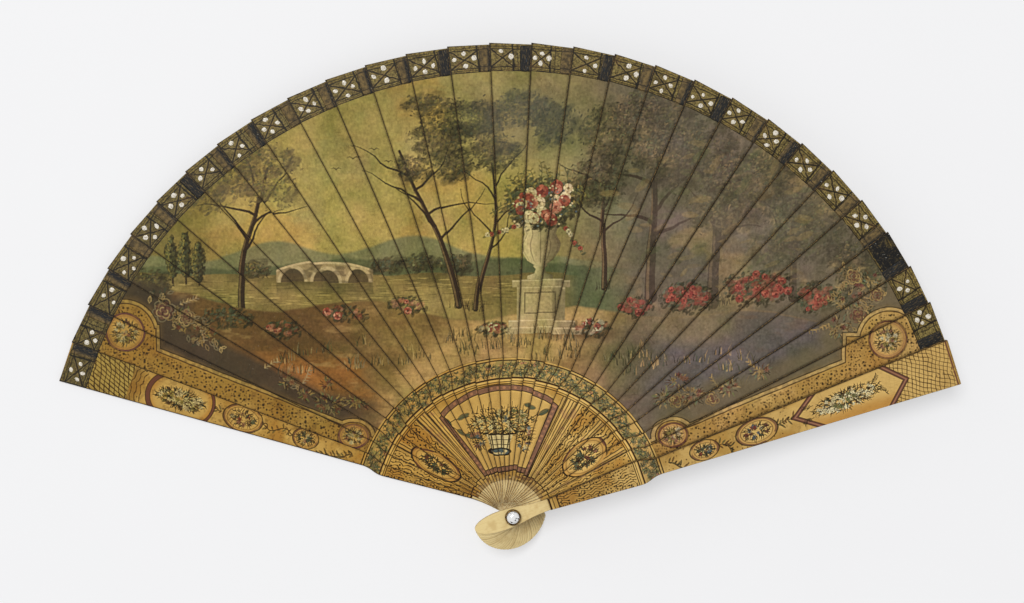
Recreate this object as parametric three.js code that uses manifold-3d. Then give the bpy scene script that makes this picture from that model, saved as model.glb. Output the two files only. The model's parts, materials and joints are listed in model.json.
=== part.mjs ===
// Brise fan: thin painted blades and two thicker guards turn on one rivet at the head.
// A narrow ribbon, anchored in a slot near every tip, ties each stick to the next.
// Millimetres, +Z up. The open fan lies flat, face up, with its pivot axis on Z,
// the back guard's outer face on z = 0 and the middle of the fan along +Y.
import * as THREE from "three";
import { mergeVertices } from "three/addons/utils/BufferGeometryUtils.js";
import Module from "manifold-3d";

const wasm = await Module();
wasm.setup();

// The set of sticks
const BLADE_COUNT = 27;
const STEP_ANGLE = 5.06; // degrees between neighbouring sticks when the ribbon is taut

// The outline that every stick shares: distances from the pivot, and full widths
const TIP_RADIUS = 198;
const TIP_WIDTH = 20.2;
const WAIST_RADIUS = 65.5;
const WAIST_WIDTH = 7.4;
const SHOULDER_RADIUS = 55;
const SHOULDER_WIDTH = 10.6;
const NECK_RADIUS = 16;
const NECK_WIDTH = 5;
const HEAD_WIDTH = 8.4;
const HEAD_DROP = 5.6; // from the pivot down to the head's widest place
const TAIL_RADIUS = 16.8;
const TAIL_FULLNESS = 0.6; // 0 is a pointed tail, 1 a blunt one

// Thicknesses
const BLADE_THICKNESS = 0.55;
const GUARD_PLATE_THICKNESS = 1.1;
const GUARD_PANEL_THICKNESS = 0.7; // the raised, decorated face of a guard

// Ribbon and its slot
const RIBBON_WIDTH = 11.4;
const RIBBON_THICKNESS = 0.08;
const RIBBON_CLEARANCE = 0.03; // between ribbon and faces, and between two layers of ribbon
const RIBBON_TIP_MARGIN = 1; // from the ribbon's edge to the tip
const RIBBON_SIDE_MARGIN = 0.8; // from the ribbon's ends to the stick's edges
const RIBBON_LAP = 1; // each piece of ribbon over the next, in the open fan
const SLOT_OFFSET = 3; // slot's middle, right of the stick's centre line
const SLOT_CLEARANCE = 0.2; // around the ribbon in the slot

// Rivet, collet and stone
const PIN_RADIUS = 1.3;
const PIN_CLEARANCE = 0.08;
const RIVET_HEAD_RADIUS = 3;
const RIVET_HEAD_CLEARANCE = 0.15; // above the rear head, below the guard's plate
const COLLET_RADIUS = 3.4;
const COLLET_WALL = 0.7;
const COLLET_FLOOR = 0.7;
const COLLET_HEIGHT = 1.9;
const COLLET_CLEARANCE = 0.15; // under the collet, and between stone and collet
const STONE_HEIGHT = 1.8;
const STONE_GIRDLE = 0.2; // height of the stone's upright rim
const STONE_TABLE_RADIUS = 1.5;
const STONE_CULET_RADIUS = 1.4;

// Facets
const CURVE_STEPS = 6; // along each curve of the outline
const ROUND_STEPS = 32;
const HOLE_STEPS = 12;
const STONE_FACETS = 12;

// Worked out from the sizes above
const stickGap = 2 * RIBBON_THICKNESS + 3 * RIBBON_CLEARANCE; // two layers of ribbon pass here
const bladePitch = BLADE_THICKNESS + stickGap;
const guardThickness = GUARD_PLATE_THICKNESS + GUARD_PANEL_THICKNESS;
const openAngle = STEP_ANGLE * (BLADE_COUNT + 1);
const firstBladeZ = guardThickness + stickGap;
const frontGuardZ = firstBladeZ + BLADE_COUNT * bladePitch;
const frontHeadZ = frontGuardZ + GUARD_PLATE_THICKNESS;
const boreRadius = PIN_RADIUS + PIN_CLEARANCE; // to the flats of a faceted hole
const ribbonOuterEdge = TIP_RADIUS - RIBBON_TIP_MARGIN;
const ribbonInnerEdge = ribbonOuterEdge - RIBBON_WIDTH;
const ribbonRight = flankHalfWidth(ribbonInnerEdge) - RIBBON_SIDE_MARGIN;

const paintedFace = new THREE.MeshStandardMaterial({ color: 0x6b5f3c, roughness: 0.4, metalness: 0 });
const gildedFace = new THREE.MeshStandardMaterial({ color: 0xb08a45, roughness: 0.4, metalness: 0 });
const blackSilk = new THREE.MeshStandardMaterial({ color: 0x1d1b18, roughness: 0.6, metalness: 0 });
const darkBrass = new THREE.MeshStandardMaterial({ color: 0x6e5a38, roughness: 0.4, metalness: 1 });
const clearPaste = new THREE.MeshStandardMaterial({ color: 0xe6e8ea, roughness: 0.05, metalness: 0 });

// Half the stick's width at a distance from the pivot, on the straight flank above the waist
function flankHalfWidth(radius) {
  const share = (radius - WAIST_RADIUS) / (TIP_RADIUS - WAIST_RADIUS);
  return THREE.MathUtils.lerp(WAIST_WIDTH, TIP_WIDTH, share) / 2;
}

// The right side of a stick from neck to tip: straight gorge, round shoulder, straight flank
function addRightFlank(path) {
  const shoulder = SHOULDER_WIDTH / 2;
  const waist = WAIST_WIDTH / 2;
  const rise = WAIST_RADIUS - SHOULDER_RADIUS;
  const gorgeSlope = (shoulder - NECK_WIDTH / 2) / (SHOULDER_RADIUS - NECK_RADIUS);
  const lead = rise / 2;
  path.lineTo(shoulder, SHOULDER_RADIUS);
  path.bezierCurveTo(
    shoulder + gorgeSlope * lead, SHOULDER_RADIUS + lead,
    waist, WAIST_RADIUS - lead,
    waist, WAIST_RADIUS,
  );
  path.lineTo(TIP_WIDTH / 2, TIP_RADIUS);
}

// The right side of the head, from the tail's end up to the neck
function addRightHead(path) {
  const head = HEAD_WIDTH / 2;
  const neck = NECK_WIDTH / 2;
  const tailLead = (TAIL_RADIUS - HEAD_DROP) / 2;
  const neckLead = (NECK_RADIUS + HEAD_DROP) / 2;
  path.bezierCurveTo(
    head * TAIL_FULLNESS, -TAIL_RADIUS,
    head, -HEAD_DROP - tailLead,
    head, -HEAD_DROP,
  );
  path.bezierCurveTo(
    head, neckLead - HEAD_DROP,
    neck, NECK_RADIUS - neckLead,
    neck, NECK_RADIUS,
  );
}

// A closed outline from its right side's points, which start and end on or beside the centre line
function mirrored(rightSide) {
  const right = rightSide.getPoints(CURVE_STEPS);
  const left = right.filter((p) => p.x > 1e-9).map((p) => new THREE.Vector2(-p.x, p.y));
  return new THREE.Shape([...right, ...left.reverse()]);
}

// Corners of a faceted round hole whose flats touch the given radius
function roundHole(radius, steps) {
  const corner = radius / Math.cos(Math.PI / steps);
  const angles = Array.from({ length: steps }, (_, k) => (-2 * Math.PI * k) / steps);
  return angles.map((angle) => new THREE.Vector2(corner * Math.cos(angle), corner * Math.sin(angle)));
}

// The whole stick, head included, with its pivot hole
function stickOutline() {
  const rightSide = new THREE.Path();
  rightSide.moveTo(0, -TAIL_RADIUS);
  addRightHead(rightSide);
  addRightFlank(rightSide);
  const outline = mirrored(rightSide);
  outline.holes.push(new THREE.Path(roundHole(boreRadius, HOLE_STEPS)));
  return outline;
}

// The stick from the neck outwards, which is the raised face of a guard
function panelOutline() {
  const rightSide = new THREE.Path();
  rightSide.moveTo(NECK_WIDTH / 2, NECK_RADIUS);
  addRightFlank(rightSide);
  return mirrored(rightSide);
}

// The slot that the ribbon comes up through
function ribbonSlot() {
  const side = RIBBON_THICKNESS / 2 + SLOT_CLEARANCE;
  const low = ribbonInnerEdge - SLOT_CLEARANCE;
  const high = ribbonOuterEdge + SLOT_CLEARANCE;
  return new THREE.Path([
    new THREE.Vector2(SLOT_OFFSET - side, low),
    new THREE.Vector2(SLOT_OFFSET - side, high),
    new THREE.Vector2(SLOT_OFFSET + side, high),
    new THREE.Vector2(SLOT_OFFSET + side, low),
  ]);
}

function plate(outline, thickness) {
  return new THREE.ExtrudeGeometry(outline, {
    depth: thickness,
    bevelEnabled: false,
    curveSegments: CURVE_STEPS,
  });
}

function bladeGeometry() {
  const outline = stickOutline();
  outline.holes.push(ribbonSlot());
  return plate(outline, BLADE_THICKNESS);
}

function toSolid(geometry) {
  const bare = geometry.clone();
  bare.deleteAttribute("normal");
  bare.deleteAttribute("uv");
  const merged = mergeVertices(bare);
  return new wasm.Manifold(
    new wasm.Mesh({
      numProp: 3,
      vertProperties: merged.attributes.position.array,
      triVerts: new Uint32Array(merged.index.array),
    }),
  );
}

function toGeometry(solid) {
  const mesh = solid.getMesh();
  const geometry = new THREE.BufferGeometry();
  geometry.setAttribute("position", new THREE.BufferAttribute(mesh.vertProperties, mesh.numProp));
  geometry.setIndex(new THREE.BufferAttribute(mesh.triVerts, 1));
  geometry.computeVertexNormals();
  return geometry;
}

// A guard: a full plate with the raised panel on its outer face, above or below the plate
function guardGeometry(panelBelow) {
  const base = plate(stickOutline(), GUARD_PLATE_THICKNESS);
  const panel = plate(panelOutline(), guardThickness);
  if (panelBelow) {
    base.translate(0, 0, GUARD_PANEL_THICKNESS);
  }
  return toGeometry(toSolid(base).add(toSolid(panel)));
}

// Turns a section drawn as (across, height) into a strip along the ribbon's width
function ribbonStrip(section) {
  const strip = new THREE.ExtrudeGeometry(section, { depth: RIBBON_WIDTH, bevelEnabled: false });
  strip.rotateX(Math.PI / 2);
  strip.translate(0, ribbonOuterEdge, 0);
  return strip;
}

// The ribbon's end on the back guard lies on its inner face
function ribbonEndGeometry() {
  const low = guardThickness + RIBBON_CLEARANCE;
  const section = new THREE.Shape([
    new THREE.Vector2(SLOT_OFFSET, low),
    new THREE.Vector2(ribbonRight, low),
    new THREE.Vector2(ribbonRight, low + RIBBON_THICKNESS),
    new THREE.Vector2(SLOT_OFFSET, low + RIBBON_THICKNESS),
  ]);
  return ribbonStrip(section);
}

// A blade's piece of ribbon: it lies on the blade's back, comes up through the slot and lies on its face.
// In the open fan its back leg laps the end of the ribbon on the stick below.
function ribbonLinkGeometry() {
  const stepShift = 2 * ribbonInnerEdge * Math.sin(THREE.MathUtils.degToRad(STEP_ANGLE) / 2);
  const backEnd = ribbonRight - stepShift - RIBBON_LAP;
  const backLow = -RIBBON_CLEARANCE - RIBBON_THICKNESS;
  const faceLow = BLADE_THICKNESS + RIBBON_CLEARANCE;
  const tabLeft = SLOT_OFFSET - RIBBON_THICKNESS / 2;
  const tabRight = SLOT_OFFSET + RIBBON_THICKNESS / 2;
  const section = new THREE.Shape([
    new THREE.Vector2(backEnd, backLow),
    new THREE.Vector2(tabRight, backLow),
    new THREE.Vector2(tabRight, faceLow),
    new THREE.Vector2(ribbonRight, faceLow),
    new THREE.Vector2(ribbonRight, faceLow + RIBBON_THICKNESS),
    new THREE.Vector2(tabLeft, faceLow + RIBBON_THICKNESS),
    new THREE.Vector2(tabLeft, backLow + RIBBON_THICKNESS),
    new THREE.Vector2(backEnd, backLow + RIBBON_THICKNESS),
  ]);
  return ribbonStrip(section);
}

function turned(profile, steps) {
  const points = profile.map(([radius, height]) => new THREE.Vector2(radius, height));
  const geometry = new THREE.LatheGeometry(points, steps);
  geometry.rotateX(Math.PI / 2);
  return geometry;
}

// The pin with its rear head, flush with the back guard's outer face
function rivetGeometry() {
  const headTop = GUARD_PANEL_THICKNESS - RIVET_HEAD_CLEARANCE;
  const pinTop = frontHeadZ + COLLET_CLEARANCE + COLLET_FLOOR;
  return turned(
    [
      [0, 0],
      [RIVET_HEAD_RADIUS, 0],
      [RIVET_HEAD_RADIUS, headTop],
      [PIN_RADIUS, headTop],
      [PIN_RADIUS, pinTop],
      [0, pinTop],
    ],
    ROUND_STEPS,
  );
}

// The stone's cup, on the pin's front end
function colletGeometry() {
  const bore = boreRadius / Math.cos(Math.PI / ROUND_STEPS);
  const inside = COLLET_RADIUS - COLLET_WALL;
  return turned(
    [
      [bore, 0],
      [COLLET_RADIUS, 0],
      [COLLET_RADIUS, COLLET_HEIGHT],
      [inside, COLLET_HEIGHT],
      [inside, COLLET_FLOOR],
      [bore, COLLET_FLOOR],
      [bore, 0],
    ],
    ROUND_STEPS,
  );
}

// A round cut stone: small flat underneath, upright girdle, sloped crown and flat table
function stoneGeometry() {
  const girdle = COLLET_RADIUS - COLLET_WALL - COLLET_CLEARANCE;
  const girdleLow = STONE_HEIGHT / 2 - STONE_GIRDLE / 2;
  return turned(
    [
      [0, 0],
      [STONE_CULET_RADIUS, 0],
      [girdle, girdleLow],
      [girdle, girdleLow + STONE_GIRDLE],
      [STONE_TABLE_RADIUS, STONE_HEIGHT],
      [0, STONE_HEIGHT],
    ],
    STONE_FACETS,
  );
}

function piece(name, geometry, material) {
  const mesh = new THREE.Mesh(geometry, material);
  mesh.name = name;
  return mesh;
}

const twoDigits = (number) => String(number).padStart(2, "0");

// A stick's own frame: its length along +Y, its underside at height z, turned to its place in the open fan
function stickFrame(index, z) {
  const frame = new THREE.Group();
  frame.position.z = z;
  frame.rotation.z = THREE.MathUtils.degToRad(openAngle / 2 - index * STEP_ANGLE);
  return frame;
}

const fan = new THREE.Group();

const backGuard = stickFrame(0, 0);
backGuard.add(piece("back_guard", guardGeometry(true), gildedFace));
backGuard.add(piece("ribbon_link_01", ribbonEndGeometry(), blackSilk));
fan.add(backGuard);

for (let i = 1; i <= BLADE_COUNT; i++) {
  const blade = stickFrame(i, firstBladeZ + (i - 1) * bladePitch);
  blade.add(piece(`blade_${twoDigits(i)}`, bladeGeometry(), paintedFace));
  blade.add(piece(`ribbon_link_${twoDigits(i + 1)}`, ribbonLinkGeometry(), blackSilk));
  fan.add(blade);
}

const frontGuard = stickFrame(BLADE_COUNT + 1, frontGuardZ);
frontGuard.add(piece("front_guard", guardGeometry(false), gildedFace));
fan.add(frontGuard);

const collet = piece("stone_collet", colletGeometry(), darkBrass);
collet.position.z = frontHeadZ + COLLET_CLEARANCE;
const stone = piece("paste_stone", stoneGeometry(), clearPaste);
stone.position.z = collet.position.z + COLLET_FLOOR + COLLET_CLEARANCE;
fan.add(piece("rivet_pin", rivetGeometry(), darkBrass), collet, stone);

export default fan;
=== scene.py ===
"""A brise fan in the shared frame: painted and varnished sticks, a silk ribbon and a stone-set rivet."""
import json
import math

import bmesh
import bpy
import numpy as np
from mathutils import Matrix, Vector
from mathutils.geometry import delaunay_2d_cdt

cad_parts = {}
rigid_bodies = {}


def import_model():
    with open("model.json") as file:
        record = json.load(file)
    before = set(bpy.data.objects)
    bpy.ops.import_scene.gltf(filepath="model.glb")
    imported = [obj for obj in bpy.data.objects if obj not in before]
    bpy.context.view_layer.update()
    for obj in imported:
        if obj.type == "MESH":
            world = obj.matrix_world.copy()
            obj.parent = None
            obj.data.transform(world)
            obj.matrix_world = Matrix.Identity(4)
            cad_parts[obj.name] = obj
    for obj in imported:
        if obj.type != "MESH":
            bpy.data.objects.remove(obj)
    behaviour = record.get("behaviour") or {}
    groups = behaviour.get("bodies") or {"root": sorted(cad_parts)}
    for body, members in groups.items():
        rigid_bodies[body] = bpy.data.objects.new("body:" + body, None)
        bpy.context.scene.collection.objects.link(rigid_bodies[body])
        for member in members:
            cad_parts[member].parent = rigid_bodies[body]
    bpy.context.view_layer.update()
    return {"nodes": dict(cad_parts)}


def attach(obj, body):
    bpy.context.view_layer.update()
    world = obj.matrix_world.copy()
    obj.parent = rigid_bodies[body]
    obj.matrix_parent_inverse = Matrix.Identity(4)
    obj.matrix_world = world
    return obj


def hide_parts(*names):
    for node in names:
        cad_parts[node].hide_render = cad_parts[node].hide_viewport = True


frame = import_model()

MM = 0.001
UP = math.pi / 2

# The sticks, in millimetres and degrees, as the CAD part has them
STEP_ANGLE = 5.06
LAST_STICK = 28
OPEN_ANGLE = STEP_ANGLE * LAST_STICK
TIP_RADIUS = 198.0
TIP_HALF_WIDTH = 10.1
WAIST_RADIUS = 65.5
WAIST_HALF_WIDTH = 3.7
SHOULDER_RADIUS = 55.0
SHOULDER_HALF_WIDTH = 5.3
NECK_RADIUS = 16.0
NECK_HALF_WIDTH = 2.5
HEAD_HALF_WIDTH = 4.2
HEAD_DROP = 5.6
TAIL_RADIUS = 16.8
PIVOT_HOLE_RADIUS = 1.38
BLADE_THICKNESS = 0.55
BLADE_PITCH = 0.8
FIRST_BLADE_Z = 2.05
PLATE_THICKNESS = 1.1
PANEL_THICKNESS = 0.7
FRONT_GUARD_Z = 23.65
SLOT_OFFSET = 3.0
SLOT_HALF_WIDTH = 0.24
EDGE_ROUND = 0.1

# Where the painting changes along a stick
GORGE_START = NECK_RADIUS
FIELD_START = 66.1
TIP_BAND_START = 186.3

RIBBON_HIGH = 197.0
RIBBON_RIGHT = 8.7
RIBBON_BACK_END = -8.69
RIBBON_THICKNESS = 0.08
RIBBON_CLEARANCE = 0.03
RIBBON_ROWS = 17
RIBBON_RIPPLE = 0.006
RIBBON_SWAY = 0.04

# Finer than in the CAD part: blades cut a little askew, guards with softened corners and a raised panel
# sunk a little in its plate, paint that starts lower on the blades, and a ribbon that ends with the painted
# band and hides its slot
TIP_SLANT = 0.7
GUARD_CORNER = 1.1
PANEL_SINK = 0.02
BLADE_PAINT_START = 13.4
RIBBON_LOW = 186.15
SLOT_LOW = 186.35
SLOT_HIGH = 196.85


def linear(*srgb):
    """An sRGB colour of 0 to 255 as linear light."""
    c = np.asarray(srgb, np.float32) / 255
    return np.where(c <= 0.04045, c / 12.92, ((c + 0.055) / 1.055) ** 2.4).astype(np.float32)


def ramp(value, low, high):
    """A smooth step from 0 at low to 1 at high."""
    t = np.clip((value - low) / (high - low), 0, 1)
    return t * t * (3 - 2 * t)


def between(value, low, high, start=0.0, end=0.2):
    """1 between low and high; each end rises from start to end within it."""
    return ramp(value - low, start, end) * ramp(high - value, start, end)


def polar(x, y, angle, length):
    """The point that lies a length away in a direction."""
    return x + length * math.cos(angle), y + length * math.sin(angle)


def line_mask(distance, width, soft=0.12):
    """A drawn line: 1 within half its width of distance 0."""
    return ramp(width / 2 + soft - np.abs(distance), 0, 2 * soft)


class Canvas:
    """A surface to paint on, in millimetres: linear colours on a fine grid."""

    def __init__(self, left, right, low, high, pitch, seed):
        self.left, self.low, self.pitch = left, low, pitch
        self.x, self.y = np.meshgrid(
            np.arange(left, right, pitch, dtype=np.float32),
            np.arange(low, high, pitch, dtype=np.float32),
        )
        self.colour = np.zeros(self.x.shape + (3,), np.float32)
        self.random = np.random.default_rng(seed)
        self.bristles = 0.55 + 0.45 * self.random.random(64, dtype=np.float32)

    def share(self):
        """A random number from 0 to 1."""
        return self.random.random()

    def sway(self):
        """A random number from -0.5 to 0.5."""
        return self.random.random() - 0.5

    def pick(self, choices):
        return choices[self.random.integers(len(choices))]

    def noise(self, size, layers=4, stretch=1.0):
        """Smooth noise from 0 to 1 with features of about size, drawn out along x by stretch."""
        total = np.zeros(self.x.shape, np.float32)
        weight = 0.0
        for layer in range(layers):
            step = size / 2**layer
            u = (self.x - self.left) / (step * stretch)
            v = (self.y - self.low) / step
            grid = self.random.random((int(v.max()) + 3, int(u.max()) + 3), dtype=np.float32)
            i, j = v.astype(np.int32), u.astype(np.int32)
            a, b = ramp(v - i, 0, 1), ramp(u - j, 0, 1)
            rows = [grid[i + k, j] * (1 - b) + grid[i + k, j + 1] * b for k in (0, 1)]
            share = 0.55**layer
            total += share * (rows[0] * (1 - a) + rows[1] * a)
            weight += share
        return total / weight

    def drift(self, *size):
        """The same noise from -0.5 to 0.5."""
        return self.noise(*size) - 0.5

    def specks(self, size, radius, chance=1.0):
        """Loose dots, one to a cell of the given size, each a little off its place."""
        u, v = self.x / size, self.y / size
        i, j = np.floor(v).astype(np.int32), np.floor(u).astype(np.int32)
        i -= i.min()
        j -= j.min()
        shape = (i.max() + 1, j.max() + 1)
        off_u = 0.5 + 0.62 * (self.random.random(shape) - 0.5)
        off_v = 0.5 + 0.62 * (self.random.random(shape) - 0.5)
        big = (0.55 + 0.75 * self.random.random(shape)) * (self.random.random(shape) < chance)
        away = np.hypot(u - np.floor(u) - off_u[i, j], v - np.floor(v) - off_v[i, j]) * size
        return ramp(radius * big[i, j] - away, -0.12, 0.12) * (big[i, j] > 0)

    def wash(self, colour, mask):
        """Mixes a colour in all over, by a mask from 0 to 1."""
        self.colour += np.clip(mask, 0, 1)[..., None] * (np.asarray(colour, np.float32) - self.colour)

    def line(self, colour, distance, width, strength=1.0):
        """Draws a line where distance is 0."""
        self.wash(colour, line_mask(distance, width) * strength)

    def patch(self, x, y, rx, ry, soft):
        """A mask for an oval that fades towards its rim."""
        return ramp(1 - np.hypot((self.x - x) / rx, (self.y - y) / ry), 0, soft)

    def window(self, x0, x1, y0, y1):
        """The part of the grid that covers a box, or None outside the canvas."""
        rows, columns = self.x.shape
        j0 = max(int((x0 - self.left) / self.pitch), 0)
        j1 = min(int((x1 - self.left) / self.pitch) + 2, columns)
        i0 = max(int((y0 - self.low) / self.pitch), 0)
        i1 = min(int((y1 - self.low) / self.pitch) + 2, rows)
        return (slice(i0, i1), slice(j0, j1)) if i1 > i0 and j1 > j0 else None

    def dab(self, x, y, length, width, angle, colour, strength=1.0):
        """One touch of the brush: a soft ellipse with bristle marks along it."""
        reach = max(length, width) * 0.55 + self.pitch
        area = self.window(x - reach, x + reach, y - reach, y + reach)
        if area is None:
            return
        dx, dy = self.x[area] - x, self.y[area] - y
        c, s = math.cos(angle), math.sin(angle)
        u = (dx * c + dy * s) / (length / 2)
        v = (dy * c - dx * s) / (width / 2)
        mask = np.clip((1 - u * u - v * v) * 2.2, 0, 1) * strength
        mask *= self.bristles[(np.abs(v * 7 + x * 13).astype(np.int32)) % 64]
        self.colour[area] += mask[..., None] * (np.asarray(colour, np.float32) - self.colour[area])

    def dabs(self, places, length, width, angle, colours, strength=1.0, spread=0.8):
        """Many touches with size, turn and colour varied at random."""
        for x, y in places:
            k = 0.6 + 0.8 * self.share()
            turn = angle + spread * self.sway() * 2
            tone = self.pick(colours) * (0.85 + 0.3 * self.share())
            self.dab(x, y, length * k, width * k, turn, tone, strength)

    def stroke(self, points, start_width, end_width, colour, strength=1.0):
        """A line through the points that tapers from its start to its end."""
        count = max(len(points) - 1, 1)
        for k in range(count):
            (x0, y0), (x1, y1) = points[k], points[k + 1]
            w0 = start_width + (end_width - start_width) * k / count
            w1 = start_width + (end_width - start_width) * (k + 1) / count
            reach = max(w0, w1) / 2 + self.pitch
            left, right = min(x0, x1) - reach, max(x0, x1) + reach
            area = self.window(left, right, min(y0, y1) - reach, max(y0, y1) + reach)
            if area is None:
                continue
            dx, dy = self.x[area] - x0, self.y[area] - y0
            ex, ey = x1 - x0, y1 - y0
            t = np.clip((dx * ex + dy * ey) / max(ex * ex + ey * ey, 1e-9), 0, 1)
            half = (w0 + (w1 - w0) * t) / 2
            away = np.hypot(dx - t * ex, dy - t * ey)
            mask = np.clip((half - away) / self.pitch + 0.5, 0, 1) * strength
            self.colour[area] += mask[..., None] * (np.asarray(colour, np.float32) - self.colour[area])

    def in_blob(self, x, y, rx, ry, count):
        """Points spread over an ellipse, thinner towards its rim."""
        r = np.sqrt(self.random.random(count)) * (0.75 + 0.35 * self.random.random(count))
        a = self.random.random(count) * 2 * math.pi
        return np.stack([x + rx * r * np.cos(a), y + ry * r * np.sin(a)], 1)

    def scatter(self, x, y, rx, ry, count, *touch):
        """Touches all over an ellipse; touch is what dabs takes."""
        self.dabs(self.in_blob(x, y, rx, ry, count), *touch)

    def dragged(self, count, x_range, y_range, shades, length, width, turn, strength):
        """Touches in the colour that they land on, a little lighter or darker."""
        for _ in range(count):
            x, y = self.random.uniform(*x_range), self.random.uniform(*y_range)
            tone = self.at(np.array([x]), np.array([y]))[0] * (shades[0] + shades[1] * self.share())
            long = length[0] + length[1] * self.share()
            self.dab(x, y, long, width, turn * self.sway(), tone, strength)

    def wander(self, x, y, angle, length, bend, steps):
        """A path that bends at random as it grows."""
        path = [(x, y)]
        for _ in range(steps):
            angle += bend * self.sway()
            x, y = polar(x, y, angle, length / steps)
            path.append((x, y))
        return path

    def crisp(self, reach, amount):
        """Lifts fine touches out of the tone around them."""
        tone = np.sqrt(np.clip(self.colour, 0, 1))
        wide = int(round(reach / self.pitch))
        soft = tone
        for axis in (0, 1):
            soft = sum(np.roll(soft, k, axis) for k in range(-wide, wide + 1)) / (2 * wide + 1)
        self.colour = np.clip(tone + amount * (tone - soft), 0.03, 1) ** 2

    def at(self, x, y):
        """The colours at points, smoothed between the grid's own."""
        rows, columns = self.x.shape
        u = np.clip((x - self.left) / self.pitch, 0, columns - 1.001)
        v = np.clip((y - self.low) / self.pitch, 0, rows - 1.001)
        j, i = u.astype(np.int32), v.astype(np.int32)
        a, b = (v - i)[:, None], (u - j)[:, None]
        low = self.colour[i, j] * (1 - b) + self.colour[i, j + 1] * b
        high = self.colour[i + 1, j] * (1 - b) + self.colour[i + 1, j + 1] * b
        return low * (1 - a) + high * a


# Colours of the paint under its varnish
SKY_LOW = linear(178, 158, 88)
SKY_HIGH = linear(158, 142, 80)
SKY_LEFT = linear(136, 119, 63)
SKY_RIGHT = linear(98, 88, 64)
SKY_WARM = linear(186, 142, 70)
SKY_COOL = linear(128, 134, 88)
CLOUD = linear(184, 166, 100)
HILL_FAR = linear(122, 122, 84)
HILL_NEAR = linear(92, 96, 62)
WATER = linear(138, 120, 68)
WATER_LIGHT = linear(180, 158, 94)
WATER_DARK = linear(88, 78, 44)
GROUND = linear(142, 115, 66)
GROUND_LIGHT = linear(180, 149, 92)
GROUND_BROWN = linear(100, 73, 40)
GROUND_ORANGE = linear(156, 106, 50)
SHADE = linear(94, 84, 66)
CORNER_LEFT = linear(70, 58, 41)
CORNER_RIGHT = linear(107, 94, 69)
GLADE = linear(142, 120, 72)
HAZE = linear(136, 123, 92)
LEAF_DARK = [linear(44, 40, 24), linear(56, 50, 30), linear(62, 58, 34)]
LEAF_MID = [linear(82, 77, 44), linear(92, 86, 48), linear(74, 78, 54)]
LEAF_LIGHT = [linear(128, 118, 62), linear(144, 128, 66), linear(110, 110, 66)]
LEAF_COOL = [linear(78, 86, 64), linear(92, 98, 72), linear(66, 72, 52)]
LEAF_BROWN = [linear(98, 86, 56), linear(112, 97, 62), linear(86, 78, 56)]
BARK = linear(56, 42, 28)
BARK_LIGHT = linear(118, 97, 62)
STONE = [linear(176, 157, 110), linear(160, 141, 96), linear(192, 173, 126)]
STONE_DARK = linear(86, 72, 48)
ROSE = [linear(152, 76, 56), linear(170, 98, 72), linear(132, 62, 48)]
ROSE_DARK = linear(92, 36, 30)
PINK = [linear(208, 150, 118), linear(198, 128, 98)]
PINK_DARK = linear(128, 60, 48)
CREAM = [linear(224, 208, 160), linear(212, 192, 140)]
CREAM_DARK = linear(120, 96, 58)
MIST = [linear(92, 104, 104), linear(112, 122, 116)]
GOLD = linear(170, 132, 66)
GOLD_PALE = linear(200, 164, 96)
GOLD_DEEP = linear(164, 112, 44)
GOLD_LINE = [linear(176, 147, 92), linear(150, 124, 78), linear(134, 118, 84)]
INK = linear(42, 30, 18)
INK_BROWN = linear(86, 56, 28)
PURPLE = linear(100, 62, 48)
PURPLE_PALE = linear(150, 106, 78)


def tree_crown(c, blobs, density=1.0, light=1.0, lit_tones=LEAF_LIGHT, dark_tones=LEAF_DARK):
    """Foliage in three passes: dark masses, middle tones, then light from the upper left."""
    for x, y, rx, ry in blobs:
        c.scatter(x, y, rx, ry, int(rx * ry * 0.4 * density), 7.0, 4.0, 0.5, dark_tones, 0.42)
        c.scatter(x, y, rx, ry, int(rx * ry * 1.1 * density), 2.6, 1.3, 0.5, dark_tones, 0.6)
    for x, y, rx, ry in blobs:
        rim = c.in_blob(x, y, rx * 1.12, ry * 1.12, int(rx * ry * 0.9 * density))
        c.dabs(rim, 1.5, 0.7, 0.6, dark_tones, 0.85, 1.4)
        middle = c.in_blob(x - 0.1 * rx, y + 0.1 * ry, rx * 0.95, ry * 0.9, int(rx * ry * 1.5 * density))
        c.dabs(middle, 1.8, 0.9, 0.6, LEAF_MID + LEAF_BROWN, 0.6, 1.2)
        touches = int(rx * ry * 1.1 * density * light)
        lit = c.in_blob(x - 0.28 * rx, y + 0.3 * ry, rx * 0.66, ry * 0.6, touches)
        c.dabs(lit, 1.3, 0.6, 0.7, lit_tones, 0.6, 1.2)


def trunk(c, x, y, height, lean, width, branches=5):
    path = c.wander(x, y, UP + lean, height, 0.22, 12)
    c.stroke(path, width, width * 0.35, BARK)
    grass(c, x, y - 0.6, int(5 * width), 1.4 * width, 2.8, LEAF_DARK + [BARK])
    c.stroke([(px - width * 0.22, py) for px, py in path], width * 0.28, 0.2, BARK_LIGHT, 0.7)
    for k in range(branches):
        px, py = path[5 + k * 7 // branches]
        side = 1 if k % 2 else -1
        turn = UP + lean + side * (0.55 + 0.3 * c.share())
        c.stroke(c.wander(px, py, turn, height * 0.4, 0.7, 8), width * 0.4, 0.25, BARK)


def poplar(c, x, y, height, width):
    c.stroke([(x, y), (x, y + height * 0.4)], 0.9, 0.5, BARK)
    for k in range(7):
        t = (k + 0.8) / 7.5
        w = width * math.sin(math.pi * min(t * 0.92 + 0.06, 1)) ** 0.7
        cy = y + height * (0.12 + 0.86 * t)
        c.scatter(x, cy, w / 2, height * 0.1, int(9 * w), 2.0, 0.9, 1.35, LEAF_DARK, 0.85)
        c.scatter(x - 0.15 * w, cy, w * 0.4, height * 0.09, int(7 * w), 1.4, 0.6, 1.35, LEAF_MID, 0.8)
        c.scatter(x - 0.26 * w, cy, w * 0.22, height * 0.08, int(4 * w), 1.0, 0.5, 1.35, LEAF_LIGHT, 0.8)


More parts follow.
